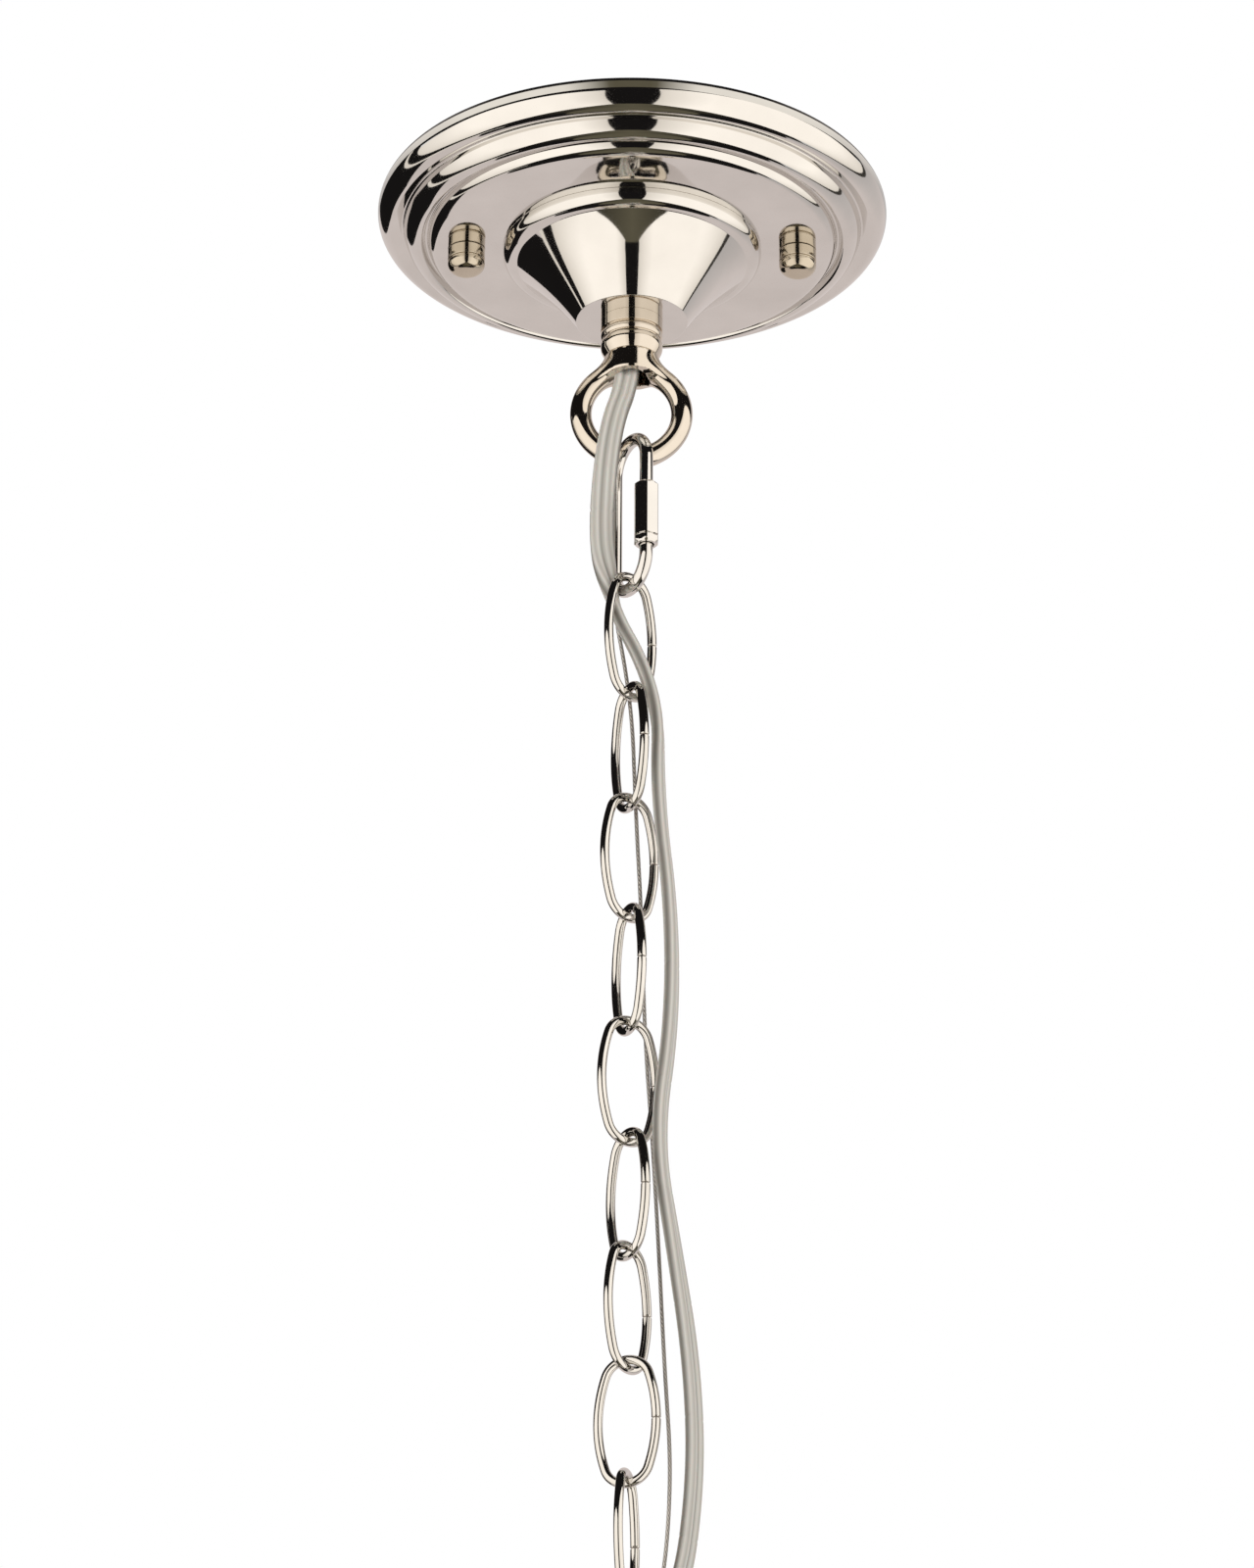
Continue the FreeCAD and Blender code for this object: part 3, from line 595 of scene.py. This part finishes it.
# Cast loops
def neck_profile():
    """Collar, two beads and the taper to the waist, seat at z = 0, round the nipple; and the waist's z."""
    points = [(NIPPLE_HOLE_R, 0), (NECK_R, 0), (NECK_R, -NECK_COLLAR)]
    z = -NECK_COLLAR
    low, shoulder = NECK_R - GROOVE_DEPTH, NECK_R - GROOVE_DEPTH / 2
    for width in BEAD_W:
        points += [(low, z), (low, z - GROOVE_W)]
        z -= GROOVE_W
        points += bow((shoulder, z), (NECK_R, z - width / 2), (shoulder, z - width), steps=10)
        z -= width
    points += [(WAIST_R, z - WAIST_TAPER), (NIPPLE_HOLE_R, z - WAIST_TAPER)]
    return eased(points, NECK_EASE, True), z - WAIST_TAPER


def smooth_least(a, b, reach):
    """Smaller of two distances, with a round blend where they are close."""
    h = np.clip(0.5 + 0.5 * (b - a) / reach, 0.0, 1.0)
    return b * (1 - h) + a * h - reach * h * (1 - h)


def loop_distance(p, top):
    """Signed distance to the ring blended into the waist, bored for the cord."""
    x, y, z = p[..., 0], p[..., 1], p[..., 2]
    ring = np.hypot(np.hypot(x, z + RING_DROP) - RING_MID_R, y) - RING_TUBE_R
    radial = np.hypot(x, y)
    waist = np.maximum(np.maximum(radial - WAIST_R, z - top), -NECK_FOOT - z)
    whole = smooth_least(ring, waist, RING_BLEND)
    return np.maximum(np.maximum(whole, z - top), CORD_BORE_R - radial)


def onto_loop(points, top):
    """Points moved along the slope of the distance until they lie on the loop."""
    step, least = 1e-4, 0.05
    for _ in range(ONTO_ROUNDS):
        value = loop_distance(points, top)
        nudged = [loop_distance(points + step * d, top) for d in np.eye(3)]
        slope = np.stack([(near - value) / step for near in nudged], axis=-1)
        length = np.maximum((slope ** 2).sum(-1), least)
        points = points - slope * (value / length)[:, None]
    return points


def evened(points, quads):
    """Points moved to the middle of their neighbours."""
    total = np.zeros_like(points)
    count = np.zeros((len(points), 1))
    for shift in (1, 3):
        np.add.at(total, quads, points[np.roll(quads, shift, axis=1)])
        np.add.at(count, quads, 1.0)
    return total / np.maximum(count, 1.0)


def loop_grid(top):
    """Grid of points round the ring and the waist."""
    wide = RING_MID_R + RING_TUBE_R + LOOP_MARGIN
    deep = WAIST_R + LOOP_MARGIN_Y
    foot = -RING_DROP - RING_MID_R - RING_TUBE_R - LOOP_MARGIN
    axes = [np.arange(-wide, wide + LOOP_CELL, LOOP_CELL), np.arange(-deep, deep + LOOP_CELL, LOOP_CELL),
            np.arange(foot, top + 2 * LOOP_CELL, LOOP_CELL)]
    return np.stack(np.meshgrid(*axes, indexing="ij"), axis=-1)


def ring_and_waist(top):
    """Vertices and faces of the blended ring: one vertex per cell that the surface crosses."""
    grid = loop_grid(top)
    inside = loop_distance(grid, top) < 0
    # How many of each cell's eight corners lie inside
    corners = sum(inside[i:i - 1 or None, j:j - 1 or None, k:k - 1 or None].astype(int)
                  for i in (0, 1) for j in (0, 1) for k in (0, 1))
    crossed = (corners > 0) & (corners < 8)
    number = np.full(crossed.shape, -1)
    number[crossed] = np.arange(crossed.sum())
    points = onto_loop(grid[:-1, :-1, :-1][crossed] + LOOP_CELL / 2, top)
    faces = []
    # A face joins the four cells round each grid edge that the surface crosses
    for axis in range(3):
        u, v = [a for a in range(3) if a != axis]
        ahead = np.moveaxis(inside, axis, 0)
        change = np.moveaxis(ahead[1:] != ahead[:-1], 0, axis)
        for cell in np.argwhere(change):
            if cell[u] == 0 or cell[v] == 0:
                continue
            face = []
            for du, dv in ((1, 1), (0, 1), (0, 0), (1, 0)):
                at = cell.copy()
                at[u] -= du
                at[v] -= dv
                if (at < crossed.shape).all():
                    face.append(number[tuple(at)])
            if len(face) == 4 and min(face) >= 0:
                faces.append([int(n) for n in face])
    for _ in range(EVEN_ROUNDS):
        points = onto_loop(evened(points, np.array(faces)), top)
    return [tuple(p) for p in points], faces


def make_loops():
    """The upper loop under the cone, and its twin turned over at the chain's foot."""
    profile, waist_z = neck_profile()
    parts = merged(turned(profile, True, NECK_SIDES), ring_and_waist(waist_z + WAIST_LAP))
    upper = piece("upper_loop", *parts, WARM_NICKEL, ROD_SHARP, lifted(CONE_END_Z))
    settle(upper, "canopy", "canopy_loop")
    over = lifted(LOWER_SEAT_Z, LOWER_LOOP_TURN) @ Matrix.Rotation(math.pi, 4, "X")
    lower = piece("foot_loop", *parts, WARM_NICKEL, ROD_SHARP, over)
    settle(lower, "lower_loop", "lower_loop")


# Quick link and chain
def flat_arc(mid_x, mid_z, radius, start, end, steps):
    """Points of an arc in the XZ plane."""
    return [(x, 0.0, z) for x, z in arc(mid_x, mid_z, radius, start, end, steps)]


def make_quick_link():
    """Long oval of rod, open at the gate under its sleeve."""
    w = QL_HALF_W
    mid_top = QL_ROD_R - w
    mid_low = -QL_INNER_LENGTH - mid_top
    gate_low = mid_top - SLEEVE_DROP - SLEEVE_LENGTH + SLEEVE_LAP
    line = [(w, 0, gate_low + GATE_GAP)] + flat_arc(0, mid_top, w, 0, 180, steps=40)
    line += flat_arc(0, mid_low, w, 180, 360, steps=40) + [(w, 0, gate_low)]
    place = lifted(QL_TOP_Z, QL_TURN)
    made = piece("quick_link_rod", *rod(line, QL_ROD_R, ROD_SIDES), NICKEL, ROD_SHARP, place)
    settle(made, "quick_link", "quick_link")


def sleeve_profile():
    """Bore, chamfered top, ring groove near the foot and chamfered foot."""
    top = QL_ROD_R - QL_HALF_W - SLEEVE_DROP
    foot = top - SLEEVE_LENGTH
    corner = SLEEVE_AF / math.sqrt(3.0)
    drop = corner - SLEEVE_AF / 2 + SLEEVE_CHAMFER
    groove_r = SLEEVE_AF / 2 - SLEEVE_GROOVE_DEPTH
    groove_top = foot + SLEEVE_GROOVE_UP
    groove_low = groove_top - SLEEVE_GROOVE_W
    slant = [drop * k / CHAMFER_STEPS for k in range(CHAMFER_STEPS + 1)]
    points = [(SLEEVE_BORE_R, top)] + [(corner - drop + step, top - step) for step in slant]
    points += [(corner, groove_top), (groove_r, groove_top), (groove_r, groove_low), (corner, groove_low)]
    points += [(corner - step, foot + drop - step) for step in slant] + [(SLEEVE_BORE_R, foot)]
    return eased(points, SLEEVE_EASE, True)


def make_sleeve():
    """Hexagonal screw sleeve, turned so that an edge faces the front."""
    points, faces = turned(sleeve_profile(), True, SLEEVE_SIDES)
    hexagon = []
    for x, y, z in points:
        angle = math.atan2(y, x)
        off = (math.degrees(angle) - SLEEVE_TURN) % HEXAGON_STEP - HEXAGON_STEP / 2
        flat = SLEEVE_AF / 2 / math.cos(math.radians(min(abs(off), SLEEVE_EDGE)))
        r = min(math.hypot(x, y), flat)
        hexagon.append((QL_HALF_W + r * math.cos(angle), r * math.sin(angle), z))
    made = piece("screw_sleeve", hexagon, faces, NICKEL, SLEEVE_SHARP, lifted(QL_TOP_Z, QL_TURN))
    settle(made, "quick_link_sleeve", "quick_link_sleeve")


def link_line():
    """Oval of a chain link, inner top at z = 0, from one side of its seam round to the other."""
    half = LINK_INNER_LENGTH / 2 + LINK_WIRE_R
    end_z = half - LINK_END_R
    side_r = (LINK_HALF_W ** 2 - LINK_END_R ** 2 + end_z ** 2) / (2 * (LINK_HALF_W - LINK_END_R))
    side_x = side_r - LINK_HALF_W
    lean = math.degrees(math.asin(end_z / (side_r - LINK_END_R)))
    seam = math.degrees(LINK_SEAM / 2 / side_r)
    middle = -LINK_INNER_LENGTH / 2
    line = flat_arc(-side_x, middle, side_r, seam, lean, steps=14)[:-1]
    line += flat_arc(0, middle + end_z, LINK_END_R, lean, 180 - lean, steps=30)[:-1]
    line += flat_arc(side_x, middle, side_r, 180 - lean, 180 + lean, steps=28)[:-1]
    line += flat_arc(0, middle - end_z, LINK_END_R, 180 + lean, 360 - lean, steps=30)[:-1]
    line += flat_arc(-side_x, middle, side_r, -lean, -seam, steps=14)
    return line


def make_chain():
    """The links, each on its own body."""
    shape = rod(link_line(), LINK_WIRE_R + LINK_PLATE, LINK_SIDES)
    for index, turn in enumerate(LINK_TURNS):
        name = "chain_link_%d" % (index + 1)
        top = QL_FLOOR_Z + LINK_GAP - index * LINK_PITCH
        made = piece(name + "_wire", *shape, CHAIN_NICKEL, ROD_SHARP, lifted(top, turn))
        settle(made, name, name)


# Cords
def route(spots, bores):
    """Control points in millimetres: out of the upper bore, past each joint, into the lower bore."""
    end_y, mouth_y, upper_x, lower_x = bores
    points = [(0.0, end_y, CORD_TOP_Z), (upper_x, mouth_y, RING_Z + MOUTH_RISE)]
    points += [(x, y, joint_level(number)) for number, (x, y) in enumerate(spots)]
    points += [(lower_x, mouth_y, LOWER_RING_Z - MOUTH_RISE), (0.0, end_y, CORD_FOOT_Z)]
    return points


def smooth_line(name, points):
    """Points read from a smooth spline with these control points, in millimetres."""
    curve = bpy.data.curves.new(name, "CURVE")
    curve.dimensions = "3D"
    curve.resolution_u = ROUTE_STEPS
    spline = curve.splines.new("NURBS")
    spline.points.add(len(points) - 1)
    for control, point in zip(spline.points, points):
        control.co = (*(Vector(point) * MM), 1.0)
    spline.order_u = 3
    spline.use_endpoint_u = True
    holder = placed(name, curve)
    bpy.context.view_layer.update()
    mesh = bpy.data.meshes.new_from_object(holder)
    line = [v.co / MM for v in mesh.vertices]
    bpy.data.objects.remove(holder)
    bpy.data.curves.remove(curve)
    bpy.data.meshes.remove(mesh)
    return line


def twin_section():
    """Two round lobes side by side, as (wide, thin) offsets."""
    q = FLAT_CORD_T / 2
    right = arc(q, 0.0, q, -LOBE_REACH, LOBE_REACH, LOBE_STEPS)
    return right + [(-w, -t) for w, t in right]


def round_section():
    """Outline of the earth wire as (wide, thin) offsets."""
    return arc(0.0, 0.0, EARTH_D / 2, 0.0, 360.0, EARTH_SIDES)[:-1]


def twist_at(z):
    """Way of the flat cord's wide side at a height, eased between the given joints, in radians."""
    for (upper, first), (lower, last) in zip(CORD_TWIST, CORD_TWIST[1:]):
        high, low = joint_level(upper), joint_level(lower)
        if z > low:
            share = min(max((high - z) / (high - low), 0.0), 1.0)
            share = share * share * (3 - 2 * share)
            return math.radians(first * (1 - share) + last * share)
    return math.radians(CORD_TWIST[-1][1])


def wrap(mesh, spots):
    """UV layer from each vertex's way round and along a cord, without a jump where the way round ends."""
    layer = mesh.uv_layers.new(name="run")
    start, end = 0.1, 0.9
    for face in mesh.polygons:
        over_end = max(spots[v][0] for v in face.vertices) > end
        for corner, v in zip(face.loop_indices, face.vertices):
            u, run = spots[v]
            layer.data[corner].uv = (u + 1.0 if over_end and u < start else u, run)


def tube(name, line, sizes, outline, material):
    """Tube along a line, its outline turned as the twist says and scaled by the size at each point."""
    points, spots = [], []
    sides = len(outline)
    run = 0.0
    for index, (p, size) in enumerate(zip(line, sizes)):
        along = (line[min(index + 1, len(line) - 1)] - line[max(index - 1, 0)]).normalized()
        turn = twist_at(p.z)
        wide = Vector((math.cos(turn), math.sin(turn), 0.0))
        wide = (wide - along * wide.dot(along)).normalized()
        thin = along.cross(wide)
        if index:
            run += (p - line[index - 1]).length
        for side, (w, t) in enumerate(outline):
            points.append(p + wide * w * size + thin * t * size)
            spots.append((side / sides, run / FLAT_CORD_W))
    made = piece(name, points, skin(len(line), sides), material, CORD_SHARP)
    wrap(made.data, spots)
    return made


def make_cord(base, points, outline, material):
    """One stretch per joint, cut halfway between joints."""
    line = smooth_line(base + "_line", points)
    levels = [joint_level(number) for number in range(len(HANGING) - 1)]
    cuts = [(upper + lower) / 2 for upper, lower in zip(levels, levels[1:])]
    cuts = [CORD_TOP_Z + PAST_END] + cuts + [CORD_FOOT_Z - PAST_END]
    for number, level in enumerate(levels):
        high, low = cuts[number], cuts[number + 1]
        part = [p for p in line if low - SPLICE <= p.z <= high + SPLICE]
        sizes = [1.0 if low <= p.z <= high else SPLICE_SIZE for p in part]
        name = "%s_%02d" % (base, number)
        made = tube(name + "_run", part, sizes, outline, material)
        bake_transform(made)
        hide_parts(name)


def make_cords():
    """The flat cord and the earth wire."""
    cord = route(CORD_SPOTS, CORD_BORES)
    make_cord("flat_cord", cord, twin_section(), JACKET)
    earth = route(EARTH_SPOTS, EARTH_BORES)
    make_cord("earth_wire", earth, round_section(), TINNED)


def finish_nodes():
    """Better materials on the solids that stay."""
    kept = {"mounting_bracket": ZINC, "canopy_studs": ZINC, "stud_lock_nuts": ZINC, "loop_nipple": ZINC,
            "nipple_washer": ZINC, "nipple_nut": ZINC, "lower_nipple": ZINC, "earth_screw": BRASS_SCREW,
            "core_leads": CORE_SLEEVE, "wire_connectors": CONNECTOR, "earth_tail": TINNED}
    for name, material in kept.items():
        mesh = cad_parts[name].data
        mesh.materials.clear()
        mesh.materials.append(material)


# Studio, in metres and degrees; a lamp has a name, a place and watts
STUDIO_MIDDLE = Vector((0.0, 0.0, -0.06))
FLOOR_R = 11.5
FLOOR_Z = -9.0
FLOOR_SIDES = 120
LAMPS = (("left_lamp", (-1.6, -1.8, 0.6), 18.0), ("right_lamp", (1.8, -1.2, 0.4), 12.0))
LAMP_SIZE = 1.2
ROOM_LIGHT = 0.75
CAMERA_AIM = Vector((-0.0007, 0.0, -0.1686))
CAMERA_DISTANCE = 4.933
CAMERA_PITCH = 27.9
CAMERA_ROLL = 0.25
CAMERA_REACH = 50.0
LENS_MM = 450.0
SENSOR_MM = 36.0

# Flat panels, left and right of a gap: the azimuth that they face, where they start, how high they stand
PANEL_FACING = 52.0
PANEL_START = 11.5
PANEL_FAR = 1.2
PANEL_FOOT = -2.5
LEFT_PANEL_HEAD = 0.50
RIGHT_PANEL_HEAD = 0.76

# Sectors of the round wall as azimuths, from the viewer's side to the right
GAP = (-12.0, 12.0)
LEFT_FRAME = (-112.0, -104.0)
LEFT_SLIT = (-115.0, LEFT_FRAME[0])
LEFT_BACK = (-152.0, LEFT_SLIT[0])
RIGHT_FRAME = (117.0, 120.0)
BACK = (RIGHT_FRAME[1], LEFT_BACK[0] + 360.0)
ALL_ROUND = (-180.0, 180.0)

# Bands of the round wall as elevations, and how far its parts stand
GAP_BAND = (-57.0, 22.0)
LEFT_BAND = (-62.0, 24.0)
LEFT_DARK_BAND = (-33.0, 40.0)
LEFT_PALE_BAND = (-56.0, LEFT_DARK_BAND[0])
RIGHT_BAND = (-50.0, 34.0)
BACK_BAND = (LEFT_PALE_BAND[0], 76.0)
CEILING_BAND = (18.0, 90.0)
FOOT_BAND = (-76.0, -50.0)
FLOOR_BAND = (-90.0, FOOT_BAND[0])
GAP_FAR = 2.6
FRAME_FAR = 2.9
PALE_FAR = 3.2
FOOT_FAR = 3.8
WALL_FAR = 4.0
PATCH_COLUMNS = 36
PATCH_ROWS = 12

# Rings of ceiling just above the rim, in millimetres
BOARD_RISE = 1.0
BOARD_INNER_R = 54.0
BOARD_SEAM_R = 64.6
BOARD_OUTER_R = 72.0
BOARD_SIDES = 90

# Colours of the cards
PANEL_WHITE = (1.32, 1.25, 1.16)
PANEL_EDGE = (0.92, 0.86, 0.78)
BLACK = (0.010, 0.009, 0.009)
DARK = (0.045, 0.041, 0.036)
OLIVE = (0.125, 0.112, 0.075)
PALE_GREY = (0.74, 0.67, 0.65)
SOFT_GREY = (0.58, 0.55, 0.54)
DIM_GREY = (0.24, 0.22, 0.21)
OVERHEAD = (1.02, 0.98, 0.91)


def emitter(name, stops):
    """Glowing surface whose colour runs through stops along the card's first direction."""
    shader = Shader(name)
    shader.nodes.remove(shader.bsdf)
    glow = shader.nodes.new("ShaderNodeEmission")
    shader.join(shader.ramp(shader.across("card"), stops), glow.inputs["Color"])
    shader.join(glow.outputs["Emission"], shader.nodes["Material Output"].inputs["Surface"])
    return shader.material


def card(name, spots, stops):
    """Studio card through a grid of points that only reflections see, shaded along its rows."""
    rows, columns = len(spots), len(spots[0])
    points = [STUDIO_MIDDLE + p for row in spots for p in row]
    faces = []
    for r in range(rows - 1):
        for c in range(columns - 1):
            low = r * columns + c
            faces.append([low, low + 1, low + columns + 1, low + columns])
    mesh = bpy.data.meshes.new(name)
    mesh.from_pydata(points, [], faces)
    layer = mesh.uv_layers.new(name="card")
    for loop in mesh.loops:
        r, c = divmod(loop.vertex_index, columns)
        layer.data[loop.index].uv = (c / (columns - 1), r / (rows - 1))
    mesh.materials.append(emitter(name, stops))
    made = placed(name, mesh)
    made.visible_camera = False
    made.visible_diffuse = False
    made.visible_shadow = False


def direction(azimuth, elevation):
    """Direction from the studio's middle; azimuth runs from the viewer's side to the right."""
    a, e = math.radians(azimuth), math.radians(elevation)
    return Vector((math.sin(a) * math.cos(e), -math.cos(a) * math.cos(e), math.sin(e)))


def spread(ends, steps):
    """Even steps from one end to the other, both ends included."""
    first, last = ends
    return [first + (last - first) * k / steps for k in range(steps + 1)]


def patch(name, sector, band, far, *colours):
    """Piece of the room's round wall, its colours spread along the azimuth."""
    turns = spread(sector, PATCH_COLUMNS)
    spots = [[direction(a, e) * far for a in turns] for e in spread(band, PATCH_ROWS)]
    if len(colours) == 1:
        colours = colours * 2
    card(name, spots, list(zip(spread((0.0, 1.0), len(colours) - 1), colours)))


def panel(name, facing, inner, outer, head):
    """Flat tall white panel up to a head, softly darker along its two upright edges."""
    out = direction(facing, 0.0)
    side = direction(facing + 90.0, 0.0)
    ends = [math.tan(math.radians(a - facing)) for a in (inner, outer)]
    feet = [(out + side * end) * PANEL_FAR for end in ends]
    low, high = Vector((0, 0, PANEL_FOOT)), Vector((0, 0, head))
    stops = [(0.0, PANEL_EDGE), (0.18, PANEL_WHITE), (0.6, PANEL_WHITE), (1.0, PANEL_EDGE)]
    card(name, [[foot + low for foot in feet], [foot + high for foot in feet]], stops)


def board(name, inner, outer, *stops):
    """Ring of ceiling just above the rim, its colours spread along the azimuth from the back."""
    rise = Vector((0, 0, BOARD_RISE * MM)) - STUDIO_MIDDLE
    turns = spread(ALL_ROUND, BOARD_SIDES)
    card(name, [[direction(a, 0.0) * r * MM + rise for a in turns] for r in (inner, outer)], stops)


def make_room():
    """What polished metal sees: tall white panels, a dark gap, a dark ceiling, pale back, dark floor."""
    panel("left_panel", -PANEL_FACING, -PANEL_START, LEFT_FRAME[1], LEFT_PANEL_HEAD)
    panel("right_panel", PANEL_FACING, PANEL_START, RIGHT_FRAME[0], RIGHT_PANEL_HEAD)
    patch("gap", GAP, GAP_BAND, GAP_FAR, BLACK)
    patch("dark_ceiling", ALL_ROUND, CEILING_BAND, WALL_FAR, BLACK)
    patch("left_frame", LEFT_FRAME, LEFT_BAND, FRAME_FAR, BLACK)
    patch("left_slit", LEFT_SLIT, LEFT_BAND, FRAME_FAR, PANEL_EDGE)
    patch("left_dark", LEFT_BACK, LEFT_DARK_BAND, FRAME_FAR, BLACK)
    patch("pale_left", LEFT_BACK, LEFT_PALE_BAND, PALE_FAR, PALE_GREY)
    patch("right_frame", RIGHT_FRAME, RIGHT_BAND, FRAME_FAR, DARK)
    patch("pale_back", BACK, BACK_BAND, PALE_FAR, SOFT_GREY, PALE_GREY, PALE_GREY, PALE_GREY)
    patch("dark_foot", ALL_ROUND, FOOT_BAND, FOOT_FAR, BLACK, BLACK, OLIVE, BLACK, BLACK)
    patch("floor_patch", ALL_ROUND, FLOOR_BAND, WALL_FAR, OLIVE)
    board("board_edge", BOARD_INNER_R, BOARD_SEAM_R, (0.0, SOFT_GREY), (0.3, DIM_GREY), (0.42, BLACK),
          (0.58, BLACK), (0.7, DIM_GREY), (1.0, SOFT_GREY))
    board("board", BOARD_SEAM_R, BOARD_OUTER_R, (0.0, SOFT_GREY), (0.26, SOFT_GREY), (0.38, OVERHEAD),
          (0.455, OVERHEAD), (0.485, OLIVE), (0.515, OLIVE), (0.545, OVERHEAD), (0.62, OVERHEAD),
          (0.74, SOFT_GREY), (1.0, SOFT_GREY))


def make_floor():
    """Pale round floor far below."""
    mesh = bpy.data.meshes.new("floor")
    edge = [(x, y, 0.0) for x, y in arc(0.0, 0.0, FLOOR_R, 0.0, 360.0, FLOOR_SIDES)[:-1]]
    mesh.from_pydata(edge, [], [list(range(len(edge)))])
    shader = Shader("floor_paint")
    shader.set(Roughness=0.9)
    greys = [(0.3, (0.86, 0.86, 0.86)), (0.7, (0.90, 0.90, 0.90))]
    shader.feed("Base Color", shader.ramp(shader.noise(3.0), greys))
    mesh.materials.append(shader.material)
    floor = placed("floor", mesh)
    floor.location.z = FLOOR_Z


def make_lamps():
    """Two soft lamps that reflections don't see."""
    for name, spot, power in LAMPS:
        lamp = bpy.data.lights.new(name, "AREA")
        lamp.shape = "DISK"
        lamp.size = LAMP_SIZE
        lamp.energy = power
        made = placed(name, lamp)
        made.location = spot
        made.rotation_euler = (STUDIO_MIDDLE - Vector(spot)).to_track_quat("-Z", "Y").to_euler()
        made.visible_glossy = False


def make_world():
    """White room: full white to the camera, reflections and glass, a little less as light."""
    world = bpy.data.worlds.new("room")
    bpy.context.scene.world = world
    world.use_nodes = True
    nodes, links = world.node_tree.nodes, world.node_tree.links
    back = nodes["Background"]
    back.inputs["Color"].default_value = (1.0, 1.0, 1.0, 1.0)
    path = nodes.new("ShaderNodeLightPath")
    seen = path.outputs["Is Camera Ray"]
    for other in ("Is Glossy Ray", "Is Transmission Ray"):
        most = nodes.new("ShaderNodeMath")
        most.operation = "MAXIMUM"
        links.new(seen, most.inputs[0])
        links.new(path.outputs[other], most.inputs[1])
        seen = most.outputs[0]
    level = nodes.new("ShaderNodeMapRange")
    level.inputs["To Min"].default_value = ROOM_LIGHT
    level.inputs["To Max"].default_value = 1.0
    links.new(seen, level.inputs["Value"])
    links.new(level.outputs["Result"], back.inputs["Strength"])


def make_camera():
    """Long lens from below the canopy, looking up."""
    camera = bpy.data.cameras.new("camera")
    camera.lens = LENS_MM
    camera.sensor_width = SENSOR_MM
    camera.clip_end = CAMERA_REACH
    made = placed("camera", camera)
    tilt = math.radians(CAMERA_PITCH)
    made.location = CAMERA_AIM - Vector((0.0, math.cos(tilt), math.sin(tilt))) * CAMERA_DISTANCE
    roll = Matrix.Rotation(math.radians(CAMERA_ROLL), 4, "Z")
    made.rotation_euler = (Matrix.Rotation(tilt + math.pi / 2, 4, "X") @ roll).to_euler()
    bpy.context.scene.camera = made


make_camera()
make_cords()
make_canopy()
make_cap_nuts()
make_loops()
make_quick_link()
make_sleeve()
make_chain()
finish_nodes()
make_world()
make_room()
make_floor()
make_lamps()
bpy.context.scene.view_settings.view_transform = "Standard"
